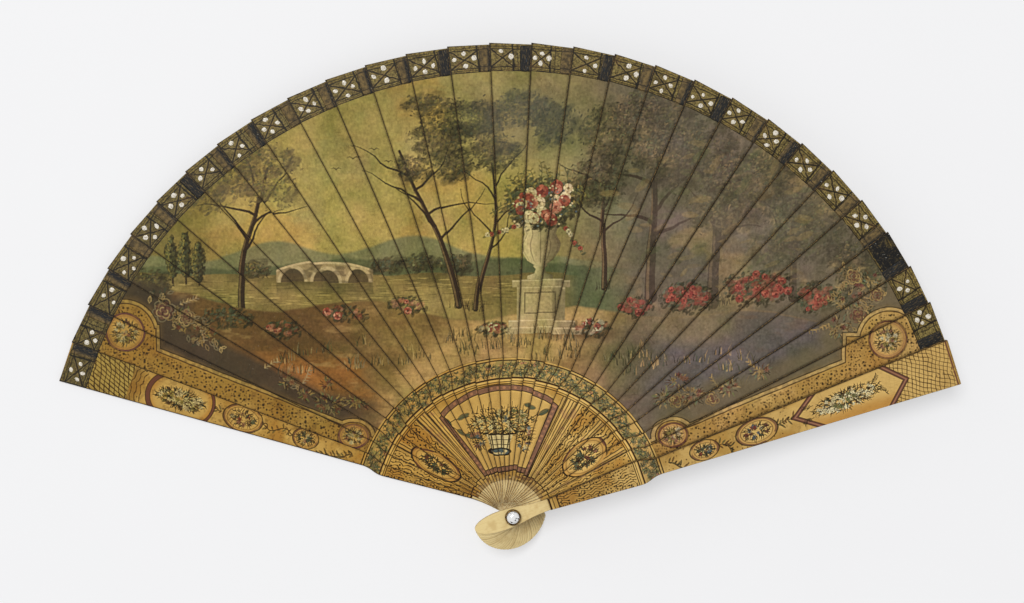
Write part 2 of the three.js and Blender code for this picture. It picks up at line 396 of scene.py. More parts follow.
def rose(c, x, y, size, tones, dark):
    """An open rose: a dark eye in rings of curled petals."""
    c.dab(x, y, size, size * 0.92, 0.3, dark, 0.95)
    for ring, count in ((0.36, 6), (0.2, 4)):
        turn = c.share() * 6
        for k in range(count):
            a = turn + 2 * math.pi * k / count
            tone = tones[(k + count) % len(tones)] * (0.8 + 0.35 * max(math.cos(a - 2.3), 0))
            c.dab(*polar(x, y, a, ring * size), size * 0.42, size * 0.2, a + UP, tone, 0.95)
    c.dab(x - 0.05 * size, y, size * 0.2, size * 0.12, 0.8, dark, 0.8)


def shrub(c, x, y, rx, ry, flowers, tones):
    """A low bush with roses over it."""
    c.scatter(x, y, rx, ry, int(rx * ry * 2), 2.2, 1.2, 0.7, LEAF_DARK, 0.8)
    top = c.in_blob(x - 0.1 * rx, y + 0.15 * ry, rx * 0.85, ry * 0.85, int(rx * ry * 1.2))
    c.dabs(top, 1.6, 0.8, 0.6, LEAF_MID + LEAF_COOL, 0.7)
    c.scatter(x, y + 0.1 * ry, rx * 0.8, ry * 0.7, 2 * flowers, 3.2, 2.0, 0.3, tones, 0.4)
    for px, py in c.in_blob(x, y + 0.1 * ry, rx * 0.85, ry * 0.8, flowers // 2):
        rose(c, px, py, 1.8 + 2.2 * c.share(), tones, ROSE_DARK)
    c.scatter(x, y, rx, ry, int(rx * ry * 0.5), 1.8, 0.8, 0.7, LEAF_DARK + LEAF_BROWN, 0.6)


def grass(c, x, y, count, reach, height, tones):
    for _ in range(count):
        px = x + c.sway() * 2 * reach
        py = y + c.sway() * reach * 0.3
        bend = c.sway() * 1.4
        tall = height * (0.5 + c.share())
        blade = [(px, py), (px + bend * tall * 0.18, py + tall * 0.55), (px + bend * tall * 0.6, py + tall)]
        c.stroke(blade, 0.45, 0.15, c.pick(tones), 0.85)


def spray(c, x, y, angle, length, leaf_size, tones):
    """A bent stem with leaves in pairs."""
    path = c.wander(x, y, angle, length, 0.9, 8)
    c.stroke(path, 0.3 * leaf_size, 0.2 * leaf_size, tones[0], 0.9)
    for px, py in path[2:]:
        for side in (-1, 1):
            a = angle + side * (0.9 + 0.3 * c.share())
            c.dab(*polar(px, py, a, leaf_size * 0.6), leaf_size * 1.3, leaf_size * 0.5, a, c.pick(tones), 0.9)


def sky(c):
    x, y = c.x, c.y
    c.wash(SKY_LOW, np.ones_like(x))
    c.wash(SKY_HIGH, ramp(y, 118, 182))
    broad = c.noise(60, 3)
    c.wash(SKY_LEFT, ramp(-x + 30 * (broad - 0.5), 95, 150) * 0.9)
    c.wash(SKY_LEFT * 0.7, ramp(-x, 118, 148) * 0.6)
    c.wash(SKY_RIGHT, ramp(x + 40 * (broad - 0.5), -8, 62))
    c.wash(SKY_WARM, ramp(c.noise(26, 3), 0.52, 0.7) * ramp(-x, -20, 20) * 0.35)
    c.wash(SKY_COOL, ramp(c.noise(22, 3), 0.54, 0.72) * ramp(y, 105, 130) * 0.3)
    cloud = c.noise(34, 5, 2.4)
    c.wash(CLOUD, ramp(cloud, 0.52, 0.74) * ramp(-x, -25, 25) * ramp(y, 112, 135) * 0.85)
    c.dragged(900, (-150, 180), (95, 190), (0.9, 0.22), (9, 8), 2.2, 0.25, 0.55)


def hills(c):
    x, y = c.x, c.y
    far = 108 + 9 * np.exp(-(((x + 40) / 26) ** 2)) + 6 * np.exp(-(((x + 98) / 20) ** 2)) + np.sin(x / 9)
    c.wash(HILL_FAR, ramp(far - y, -0.5, 1.2) * ramp(-x, -48, -20) * 0.9)
    near = 103.5 + 3.5 * np.exp(-(((x + 70) / 18) ** 2)) + 4 * np.exp(-(((x + 4) / 22) ** 2))
    c.wash(HILL_NEAR, ramp(near + 2.2 * c.noise(5, 3) - y, -0.5, 1.0) * ramp(-x, -60, -30) * 0.95)


def lake(c):
    x, y = c.x, c.y
    shore = 101.5 + 0.6 * np.sin(x / 7)
    bank = 86 - 0.045 * (x + 60) + 2.5 * np.sin(x / 13)
    mask = ramp(shore - y, -0.2, 0.6) * ramp(y - bank, -0.3, 0.9) * ramp(-x, -30, -16)
    c.wash(WATER, mask)
    mirror = c.noise(9, 3, 3.0)
    c.wash(WATER_DARK, mask * ramp(y, 94, 101) * ramp(mirror, 0.35, 0.6) * 0.8)
    c.wash(WATER_LIGHT, mask * ramp(mirror, 0.55, 0.8) * ramp(97 - y, -2, 4) * 0.8)
    for _ in range(260):
        px, py = c.random.uniform(-140, 16), c.random.uniform(88, 100)
        tone = WATER_LIGHT if c.share() < 0.55 else WATER_DARK
        c.dab(px, py, 3 + 5 * c.share(), 0.5, 0, tone * (0.85 + 0.3 * c.share()), 0.6)


def bridge(c, left, right, water, rise, arches):
    """A stone bridge on round arches, its road humped in the middle."""
    x, y = c.x, c.y
    middle, half = (left + right) / 2, (right - left) / 2
    road = water + rise * (1 - 0.45 * ((x - middle) / half) ** 2)
    within = ramp(half - np.abs(x - middle), -0.2, 0.3)
    body = within * ramp(road - y, -0.1, 0.35) * ramp(y - water, -0.1, 0.3)
    span = 2 * half / arches
    k = (x - left) / span
    arch = np.hypot((k - np.floor(k) - 0.5) * span, (y - water) * 0.85) - span * 0.36
    hole = ramp(-arch, -0.15, 0.3)
    c.wash(STONE[1], body * (1 - hole))
    c.wash(STONE[2], body * (1 - hole) * line_mask(arch - 0.7, 1.2, 0.25) * 0.8)
    c.wash(STONE_DARK, body * hole * 0.85)
    c.wash(STONE_DARK, body * (1 - hole) * ramp(c.noise(2.2, 2, 2.0), 0.55, 0.7) * 0.55)
    c.wash(STONE[2], line_mask(y - road - 0.2, 0.9, 0.2) * within)
    c.wash(WATER_DARK, within * ramp(water - y, -0.1, 0.3) * ramp(y - (water - rise * 0.8), 0, 4) * 0.6)


def ground(c):
    x, y = c.x, c.y
    rough = c.noise(16, 4, 1.8)
    fine = c.noise(3.5, 3, 2.2)
    bank = 87 - 0.045 * (x + 60) + 2.5 * np.sin(x / 13) + 5 * ramp(x, 5, 50) + 4 * (rough - 0.5)
    mask = ramp(bank - y, -0.4, 1.2)
    c.wash(GROUND, mask)
    c.wash(GROUND_BROWN, mask * ramp(-x + 26 * (rough - 0.5), 42, 86) * 0.9)
    c.wash(GROUND_ORANGE, mask * ramp(rough, 0.5, 0.68) * ramp(-x, 30, 70) * ramp(72 - y, -4, 12) * 0.75)
    c.wash(SHADE, mask * ramp(x + 26 * (rough - 0.5), 40, 74))
    path = np.abs(x + 8 - (y - 66) * 0.55 - 5 * np.sin(y / 11))
    c.wash(GROUND_LIGHT, mask * ramp(38 - path + 10 * (rough - 0.5), 0, 16) * 0.95)
    c.wash(GROUND_LIGHT, mask * ramp(fine, 0.62, 0.8) * ramp(-x, -60, -20) * 0.35)
    c.wash(GROUND_BROWN, mask * ramp(0.44 - fine, 0, 0.14) * 0.3)
    c.dragged(1500, (-150, 150), (32, 84), (0.8, 0.45), (4, 4), 1.1, 0.3, 0.6)


def garden_vase(c, x0, foot):
    """A stone vase with flutes on a stepped plinth, lit from the left."""
    x, y = c.x - x0, c.y - foot
    grain = c.noise(1.6, 3)

    def turned(profile, flutes):
        low, high = profile[0][0], profile[-1][0]
        half = np.interp(y, [p[0] for p in profile], [p[1] for p in profile])
        u = np.clip(x / half, -0.99, 0.99)
        mask = ramp(half - np.abs(x), -0.15, 0.3) * between(y, low, high, -0.1)
        lit = np.clip(0.62 - 0.5 * u + 0.1 * (grain - 0.5), 0.12, 1)
        c.wash(STONE_DARK + (STONE[2] * 1.12 - STONE_DARK) * lit[..., None], mask)
        if flutes:
            groove = ramp(0.35 - np.abs(np.sin(np.arcsin(u) * flutes)), 0, 0.3)
            c.wash(STONE_DARK, mask * groove * 0.55 * ramp(y - low, 0.6, 1.4) * ramp(high - y, 0.6, 1.6))

    def block(low, high, half):
        mask = ramp(half - np.abs(x), -0.1, 0.25) * between(y, low, high, -0.1)
        side = ramp(x, half * 0.45, half * 0.55)
        c.wash(STONE[0] * ((1.02 - 0.42 * side) * (0.9 + 0.25 * grain))[..., None], mask)
        c.wash(STONE[2] * 1.1, mask * line_mask(y - high + 0.4, 0.6) * (1 - 0.5 * side))

    c.wash(GROUND_BROWN * 0.6, ramp(1 - np.hypot((x - 14) / 30, (y - 1) / 5), 0, 0.8) * 0.75)
    for step in ((0, 3, 17), (3, 6, 14), (6, 20, 10.5), (20, 23, 12.5)):
        block(*step)
    panel = np.maximum(np.abs(x) - 6.5, np.abs(y - 13) - 4.3)
    c.line(STONE_DARK, panel, 0.6, 0.7)
    turned([(23, 5.5), (24.5, 5.5), (25.5, 2.6), (27.5, 2.0), (28.6, 3.2), (29.2, 2.4)], 0)
    turned([(29, 2.4), (31, 5.6), (35, 8.2), (38, 8.7), (40, 7.6), (42, 6.6), (44.5, 7.4), (46.5, 9.4)], 6)
    block(46, 47.6, 9.6)


def bouquet(c, x, y):
    c.scatter(x, y + 9, 16, 11, 620, 2.6, 1.3, 0.8, LEAF_DARK, 0.85)
    c.scatter(x - 1, y + 10, 16, 11, 420, 2.0, 0.9, 0.5, LEAF_MID + LEAF_COOL, 0.8)
    for k in range(16):
        a = math.pi * (0.05 + 0.9 * k / 15)
        px, py = x + 7 * math.cos(a), y + 5 + 5 * math.sin(a)
        spray(c, px, py, a, 12 + 5 * c.share(), 1.5, LEAF_MID + LEAF_LIGHT)
    reds, creams = (ROSE, ROSE_DARK), (CREAM, CREAM_DARK)
    kinds = (reds, creams, (PINK, PINK_DARK), reds, creams)
    places = sorted(c.in_blob(x, y + 9, 14, 9, 26).tolist(), key=lambda p: -p[1])
    for k, (px, py) in enumerate(places):
        rose(c, px, py, 4.2 + 2.2 * c.share(), *kinds[k % 5])
    for px, py in c.in_blob(x, y + 8, 16, 10, 60):
        c.dab(px, py, 1.0, 0.8, 0, c.pick(CREAM + MIST), 0.9)
    for side in (-1, 1):
        path = c.wander(x + side * 9, y + 1, side * 0.7 - UP, 15, 0.8, 9)
        c.stroke(path, 0.5, 0.3, LEAF_DARK[1])
        for px, py in path[1:]:
            c.scatter(px, py, 1.5, 1.5, 4, 1.8, 0.9, 0.5, LEAF_MID, 0.9)
            if c.share() < 0.6:
                rose(c, px, py, 2.4, ROSE if c.share() < 0.6 else CREAM, ROSE_DARK)


def landscape(c):
    """A park by a lake, with a vase of flowers between a pair of slim trees and a dark grove."""
    sky(c)
    hills(c)
    lake(c)
    bridge(c, -98, -58, 97.5, 8.5, 3)
    for k, x in enumerate((-142, -136.5, -131)):
        poplar(c, x, 97 - 0.4 * k, 24 - 4 * abs(k - 0.8), 6)
    tree_crown(c, [(-150, 95, 9, 7), (-106, 103, 6, 3.5)], 1.2, 0.7)
    trunk(c, -113, 85, 62, 0.02, 3.2, 6)
    broad = [(-118, 140, 13, 9), (-101, 137, 12, 9), (-111, 150, 14, 9), (-96, 148, 9, 6), (-126, 132, 8, 6)]
    tree_crown(c, broad, 0.55, 1.3, LEAF_LIGHT, LEAF_BROWN)
    tree_crown(c, [(-52, 105, 7, 3.5), (-38, 106, 8, 4), (-24, 106, 8, 4.5)], 1.2, 0.9, LEAF_COOL)
    for x, y, size in ((-66, 150, 2.6), (-58, 153.5, 2.2), (-52, 148.5, 1.8), (-73, 145.5, 2.0)):
        for side in (-1, 1):
            wing = [(x, y), (x + side * size * 0.5, y + size * 0.32), (x + side * size, y + size * 0.12)]
            c.stroke(wing, 0.5, 0.2, BARK, 0.8)
    ground(c)
    grove = ((58, 92, 62, 0.08, 4.6), (84, 90, 58, -0.12, 5.4), (118, 92, 45, 0.1, 3.6),
             (38, 96, 56, 0.05, 2.6))
    crowns = [(48, 160, 20, 14), (74, 152, 22, 16), (100, 140, 22, 16), (126, 122, 18, 15), (36, 140, 12, 11)]
    crowns += [(88, 128, 15, 9), (60, 172, 16, 8), (146, 106, 12, 11), (112, 112, 13, 8)]
    c.wash(GLADE, ramp(c.x, 34, 60) * ramp(c.noise(17, 4), 0.48, 0.64) * ramp(c.y, 84, 92) * 0.85)
    for tree in grove:
        trunk(c, *tree)
    tree_crown(c, crowns, 0.8, 0.5, LEAF_BROWN + [GLADE, LEAF_LIGHT[2]])
    c.wash(SHADE, ramp(c.x, 30, 90) * ramp(c.noise(30, 3), 0.45, 0.75) * 0.25)
    deep = c.patch(104, 116, 46, 42, 0.8)
    c.wash(HAZE, ramp(c.x, 25, 70) * ramp(c.y, 80, 98) * (0.14 + 0.16 * deep))
    c.wash(HAZE * np.array((0.5, 0.56, 0.85)), ramp(c.x, 22, 50) * ramp(88 - c.y, 0, 14) * 0.4)
    sunlit = [GLADE, GLADE * 0.8, LEAF_LIGHT[2] * 0.8, LEAF_DARK[2], LEAF_BROWN[2]]
    c.scatter(92, 134, 54, 32, 90, 7, 2.6, 0.5, sunlit, 0.4)
    c.scatter(100, 108, 44, 14, 60, 6, 1.6, 0.1, sunlit, 0.35)
    c.wash(GLADE, c.patch(76, 81, 27, 13, 0.7) * 0.45)
    c.wash(LEAF_MID[1], c.patch(50, 66, 20, 13, 0.8) * 0.5)
    for place in ((74, 92, 13, 7, 24), (104, 96, 16, 8, 34), (128, 92, 10, 7, 16), (52, 88, 8, 4, 9)):
        shrub(c, *place, ROSE)
    trunk(c, -22, 88, 70, 0.12, 3.0, 6)
    trunk(c, -15, 87, 62, -0.05, 2.2, 5)
    slim = [(-30, 158, 13, 9), (-16, 166, 14, 9), (-40, 146, 9, 6), (-8, 152, 11, 8), (-24, 146, 9, 6)]
    slim += [(4, 171, 13, 8), (17, 164, 10, 9), (-34, 172, 11, 5)]
    tree_crown(c, slim, 0.85, 0.9, LEAF_LIGHT[:1] + LEAF_BROWN)
    c.wash(HAZE * np.array((0.55, 0.7, 1.0)), c.patch(6, 168, 36, 30, 0.7) * 0.4)
    for place in ((-44, 88, 8, 4, 5), (-70, 84, 9, 4, 4), (-118, 82, 12, 5, 0), (-96, 78, 9, 4, 6)):
        shrub(c, *place, PINK + ROSE)
    garden_vase(c, 12, 76)
    bouquet(c, 12, 122)
    for place in ((-8, 78, 7, 3.5, 6), (34, 79, 8, 4, 8)):
        shrub(c, *place, ROSE + CREAM)
    for _ in range(60):
        x = c.random.uniform(-135, 120)
        y = 64 + 14 * c.share() - 0.1 * abs(x)
        grass(c, x, y, 9, 4, 3.2, LEAF_DARK + LEAF_MID + GOLD_LINE)


def brushwork(c, strength):
    """What a small brush leaves all over: drifts of hue, streaks down the sticks and fine touches."""
    drift = [c.drift(11, 4) for _ in range(3)]
    streak = c.drift(2.2, 3, 0.3)
    touch = c.drift(0.9, 2)
    for channel, weight in enumerate((0.55, 0.5, 0.85)):
        tone = weight * (0.3 * drift[channel] + 0.9 * drift[0]) + 0.2 * streak + 0.36 * touch
        c.colour[..., channel] *= np.clip(1 + strength * tone, 0.4, 1.7)


def blossom(c, x, y, size, tone):
    """A small flower: six short touches round a dark eye."""
    turn = c.share() * 6
    for k in range(6):
        a = turn + math.pi * k / 3
        petal = [polar(x, y, a, 0.2 * size), polar(x, y, a, 0.6 * size)]
        c.stroke(petal, 0.38 * size, 0.26 * size, tone * (0.6 + 0.4 * c.share()), 0.92)
    c.dab(x, y, 0.36 * size, 0.36 * size, 0, INK_BROWN, 0.9)


def posy(c, x, y, rx, ry, turn, count, size=1.0, hearts=CREAM, leaves=None):
    """A bunch drawn with the point of the brush: thin dark leaves with pale flowers among them."""

    def spot(reach):
        a = c.share() * 2 * math.pi
        px, py = rx * reach * math.cos(a), ry * reach * math.sin(a)
        return x + px * math.cos(turn) - py * math.sin(turn), y + px * math.sin(turn) + py * math.cos(turn)

    def leaf(reach, tones, width):
        gx, gy = spot(reach)
        way = math.atan2(gy - y, gx - x) + 1.8 * c.sway()
        long = (0.9 + 0.9 * c.share()) * size
        bend = way + 0.9 * c.sway()
        path = [(gx, gy), polar(gx, gy, bend, 0.5 * long), polar(gx, gy, way, long)]
        c.stroke(path, width * size, 0.16 * size, c.pick(tones), 0.92)

    leaves = leaves or LEAF_DARK + LEAF_COOL[2:] + [INK, INK]
    for _ in range(count // 2):
        leaf(0.3 + 0.72 * c.share(), leaves, 0.46)
    for _ in range(count // 8):
        tone = c.pick(hearts)
        blossom(c, *spot(0.92 * math.sqrt(c.share())), (1.0 + 0.6 * c.share()) * size, tone)
    for _ in range(count // 3):
        leaf(math.sqrt(c.share()), [INK, INK_BROWN, LEAF_DARK[0]], 0.32)


def gold_leaf(c, x, y, angle, size):
    """A leaf in outline: two thin curves from its foot to its tip over a dark heart."""
    foot, along = np.array((x, y)), np.array(polar(0, 0, angle, 1))
    aside = np.array((-along[1], along[0]))
    tone = c.pick(GOLD_LINE) * (0.6 + 0.4 * c.share())
    c.dab(*(foot + 0.5 * size * along), size, size * 0.45, angle, LEAF_DARK[1], 0.6)
    for bulge in (0.24, -0.24):
        bows = [(share, bulge * math.sin(math.pi * share)) for share in (0, 0.3, 0.65, 1)]
        curve = [foot + size * (share * along + bow * aside) for share, bow in bows]
        c.stroke(curve, 0.4, 0.28, tone, 0.7)


def gold_rose(c, x, y, size):
    """A dull red rose, its petals drawn as rings of gold arcs."""
    c.dab(x, y, size * 1.2, size * 1.05, 0, PURPLE * 0.66, 0.85)
    for ring, count, bulge in ((0.42, 6, 0.24), (0.25, 4, 0.2), (0.1, 2, 0.14)):
        turn = c.share() * 6
        for k in range(count):
            a = turn + 2 * math.pi * k / count
            px, py = polar(x, y, a, ring * size)
            c.dab(px, py, 0.3 * size, 0.2 * size, a + UP, PURPLE_PALE * 0.75, 0.5)
            arc = [polar(px, py, a + t, bulge * size) for t in np.linspace(-1.5, 1.5, 7)]
            c.stroke(arc, 0.42, 0.3, c.pick(GOLD_LINE) * (0.65 + 0.3 * c.share()), 0.8)


def gold_twig(c, x, y, angle, length):
    """A bent twig in gold line with short leaves in pairs."""
    path = c.wander(x, y, angle, length, 0.7, max(int(length / 1.3), 2))
    c.stroke(path, 0.42, 0.3, GOLD_LINE[1], 0.75)
    for px, py in path:
        for side in (-1, 1):
            lean = angle + side * (0.6 + 0.5 * c.share())
            long = 1.0 + 0.8 * c.share()
            c.stroke([(px, py), polar(px, py, lean, long)], 0.5, 0.28, c.pick(GOLD_LINE), 0.8)


def gold_foliage(c, x, y, radius, count):
    """Outlined leaves every way about a point, over darker ones."""
    c.scatter(x, y, radius, radius, 4 * count, 2.4, 0.8, 0.6, LEAF_DARK + LEAF_COOL[2:], 0.55, 1.5)
    for px, py in c.in_blob(x, y, radius, radius, count + count // 2):
        gold_leaf(c, px, py, c.share() * 6.3, 1.4 + 1.7 * c.share())


def medallion(c, x, y, radius, strokes, glow, wide=1.0):
    """A picture of flowers in a red-brown ring, round or drawn out sideways."""
    away = np.hypot((c.x - x) / wide, c.y - y) - radius + 0.3 * c.drift(4, 2)
    c.wash(GOLD_PALE * glow * 0.95, ramp(-away, -0.2, 0.2))
    c.wash(GOLD_DEEP * glow, ramp(away, -0.45 * radius, 0) * ramp(-away, -0.2, 0.2) * 0.6)
    c.line(PURPLE, away, 0.75, 0.65 + 0.35 * ramp(c.noise(5, 2), 0.35, 0.55))
    c.line(INK, away - 0.55, 0.3, 0.7)
    c.line(PURPLE_PALE * glow, away + 0.9, 0.4, 0.6)
    hearts = [tone * glow for tone in (CREAM[0] * 0.8, CREAM[1] * 0.7, LEAF_LIGHT[1], PURPLE_PALE)]
    posy(c, x, y, radius * 0.66 * wide, radius * 0.66, 0, strokes, 1.0, hearts)


LEAVES_ON_DARK = [LEAF_COOL[1] * 1.3, *GOLD_LINE[1:], LEAF_LIGHT[2], LEAF_DARK[0], GOLD_LINE[0] * 0.8]
FLOWERS_ON_DARK = [PURPLE_PALE * 0.8, GOLD_LINE[2], PURPLE * 1.4, GOLD_LINE[1] * 0.9]


def gold_border(c, side, ear, step, low_medal, foliage, roses, bunches):
    """The dotted gold strip along a guard, which widens round a medallion at its outer end."""
    x, y = c.x * side, c.y
    strip = (y - 0.41 * x - 6.8) * 0.925
    block = np.maximum(step - x, y - ear[1] - 1.5)
    arch = np.hypot(x - ear[0], y - ear[1]) - 12.3
    swell = np.hypot((x - low_medal[0]) / 1.2, y - low_medal[1]) - low_medal[2] - 1.2
    away = np.minimum.reduce([strip, block, arch, swell]) + 0.35 * c.drift(5, 2)
    here = ramp(x, 20, 24)
    dark = ramp(16 - away + 9 * c.drift(20, 3), 0, 7) * here * ramp(x, 46, 70)
    c.wash(CORNER_LEFT if side < 0 else CORNER_RIGHT, dark * 0.95)
    c.wash(GOLD * 0.55, ramp(4.5 - away + 2 * c.drift(4, 2), 0, 4.5) * here * 0.4)
    glow = np.array((0.8, 0.76, 0.55) if side < 0 else (1.0, 1.0, 1.08))
    for px, py, radius, count in foliage:
        gold_foliage(c, px * side, py, radius, count)
    for px, py, angle, length in ((133, 81, -2.3, 9), (139, 88, 2.6, 7), (104, 61, 2.4, 6), (88, 54, 2.4, 6)):
        gold_twig(c, px * side, py, angle if side > 0 else math.pi - angle, length)
    for px, py, rx, ry, count in bunches:
        flowers, leaves = [[tone * glow for tone in tones] for tones in (FLOWERS_ON_DARK, LEAVES_ON_DARK)]
        posy(c, px * side, py, rx, ry, 0.3 * side, count, 1.25, flowers, leaves)
    for px, py, size in roses:
        gold_rose(c, px * side, py, size)
    inside = ramp(-away, -0.15, 0.15) * here
    tone, fine = c.noise(14, 3), c.noise(1.5, 2)
    c.wash(GOLD * glow, inside)
    c.wash(GOLD_PALE * glow, inside * ramp(tone, 0.5, 0.75) * 0.6)
    c.wash(GOLD_DEEP * glow, inside * ramp(0.48 - tone, 0, 0.2) * 0.3)
    c.wash(INK_BROWN, inside * ramp(0.42 - fine, 0, 0.2) * 0.4)
    c.wash(INK, inside * c.specks(2.0, 0.47, 0.8) * ramp(-away, 0.8, 1.1) * 0.85)
    c.wash(INK_BROWN * 0.6, inside * c.specks(1.2, 0.3, 0.55) * ramp(-away, 0.8, 1.1) * 0.75)
    rim = ramp(away, -0.1, 0.15) * ramp(1.6 - away, 0, 0.25) * here
    c.wash(GOLD_PALE * glow * 0.85, rim * (0.5 + 0.4 * ramp(fine, 0.35, 0.6)))
    c.line(INK_BROWN * 0.8, away, 0.55, here)
    c.line(INK, away - 1.7, 0.45, here * 0.9)
    medallion(c, ear[0] * side, ear[1], 7.9, 220, glow)
    medallion(c, low_medal[0] * side, low_medal[1], low_medal[2], 130, glow, 1.22)


def field_art(c):
    """The picture on the blades' main length, with a border along each guard."""
    landscape(c)
    brushwork(c, 1.0)
    right = ramp(c.x, 5, 60)[..., None]
    c.colour *= np.array((0.96, 0.93, 0.82)) + right * np.array((0.12, 0.14, 0.44))
    leaves = [(132, 77, 6.5, 16), (139, 82, 5, 9), (148, 91, 4, 7), (124, 71, 2.5, 4), (93, 54.5, 3, 5)]
    bunches = [(77, 45, 6, 3.5, 90), (77.7, 54.2, 2.6, 2.6, 26), (65, 45.4, 6, 2.2, 46), (87, 49, 3.4, 2, 24)]
    bunches += [(94.8, 55.3, 2.4, 2.4, 24), (139, 82, 6, 5, 44), (130, 76, 5, 4, 30)]
    roses = ((146, 85.5, 7.4), (136.5, 82.5, 5.2))
    gold_border(c, -1, (162.4, 76.4), 149.5, (66.8, 31.0, 5.1), leaves, roses, bunches)
    leaves = [(142, 101, 5.5, 13), (154, 96, 4, 8), (140, 92, 4.5, 9), (148, 88, 4.5, 8), (140, 77, 5, 9)]
    bunches = [(64, 50, 4, 3.5, 46), (76, 51, 5, 4, 70), (91, 54, 5, 3, 50), (70, 57, 4, 3, 34)]
    bunches += [(104, 61, 4, 3, 30), (143, 92, 7, 7, 60), (137, 80, 5, 4, 40), (151, 98, 5, 5, 40)]
    roses = ((145.5, 84.5, 6.8), (144, 101.5, 5.2), (153.5, 93, 5.0), (69, 49, 4.8), (84, 49.4, 4.8))
    gold_border(c, 1, (158.8, 74.1), 140.7, (67.6, 33.9, 5.0), leaves, roses, bunches)
    brushwork(c, 0.5)
    c.crisp(0.6, 0.8)


def gold_ground(c):
    broad, fine = c.noise(9, 3), c.noise(1.3, 2)
    c.wash(GOLD * 1.06, np.ones_like(c.x))
    c.wash(GOLD_PALE, ramp(broad, 0.42, 0.7) * 0.8)
    c.wash(GOLD_DEEP, ramp(0.46 - broad, 0, 0.22) * 0.5)
    c.wash(INK_BROWN, ramp(0.36 - fine, 0, 0.15) * 0.22)


def stem_lines(c, across, along, spacing, width, sway, mask, tone, strength=0.85):
    """Thin lines side by side, swaying along their length; across and spacing share a unit."""
    unsteady = c.drift(3.0, 2)
    k = (across + sway * np.sin(along * 1.25 + 5 * unsteady)) / spacing
    away = np.abs(k - np.floor(k) - 0.5) * spacing
    c.wash(tone, mask * ramp(width / 2 + 0.12 - away, 0, 0.2) * strength)


def foliage_band(c, low, high, along, arc, reach):
    """A strip of leaf sprays between two lines; arc gives points on it for a distance and a height."""
    inside = between(along, low, high, -0.1, 0.1)
    c.wash(GOLD * np.array((0.96, 1.03, 1.35)), inside)
    c.wash(LEAF_LIGHT[2] * 0.9, inside * ramp(c.noise(3, 2), 0.4, 0.6) * 0.5)
    leaves = LEAF_BROWN + LEAF_BROWN + LEAF_MID[:2] + LEAF_COOL[:2] + [LEAF_LIGHT[2], LEAF_DARK[2]]
    for k in range(int(reach / 0.8)):
        px, py = arc(0.8 * k, (low + high) / 2 + (high - low - 1.8) * c.sway())
        tones = [GOLD * 0.8, LEAF_BROWN[1], PURPLE_PALE * 0.8] if k % 13 == 4 else leaves
        for _ in range(7):
            a = 2 * math.pi * c.share()
            near, far = 0.3 * c.share(), 0.8 + 0.9 * c.share()
            foot, tip = polar(px, py, a, near), polar(px, py, a, far)
            c.stroke([foot, tip], 0.6, 0.25, c.pick(tones), 0.8)
        for _ in range(2):
            a = 2 * math.pi * c.share()
            c.stroke([(px, py), polar(px, py, a, 1.5)], 0.3, 0.2, LEAF_DARK[0], 0.8)
    c.colour *= 1 + inside[..., None] * np.array((0.22, 0.22, 0.26), np.float32)
    for at in (low, high):
        c.line(INK_BROWN * 0.6, along - at, 0.55)


LEAF_BAND = (57.4, 65.0)
FRAME_LINES = ((55.0, 0.42), (55.9, 0.34), (57.1, 0.5))
PANEL_RIGHT = 66
PANEL_LEFT = 127.5


def framed_band(c, along, lines, arc, reach):
    """Lines across the gorge, those at its outer end, and the leaf band beyond them."""
    for at, width in (*lines, *FRAME_LINES):
        c.line(INK_BROWN * 0.55, along - at, width)
    c.line(GOLD_PALE, along - 56.5, 0.8, 0.8)
    foliage_band(c, *LEAF_BAND, along, arc, reach)


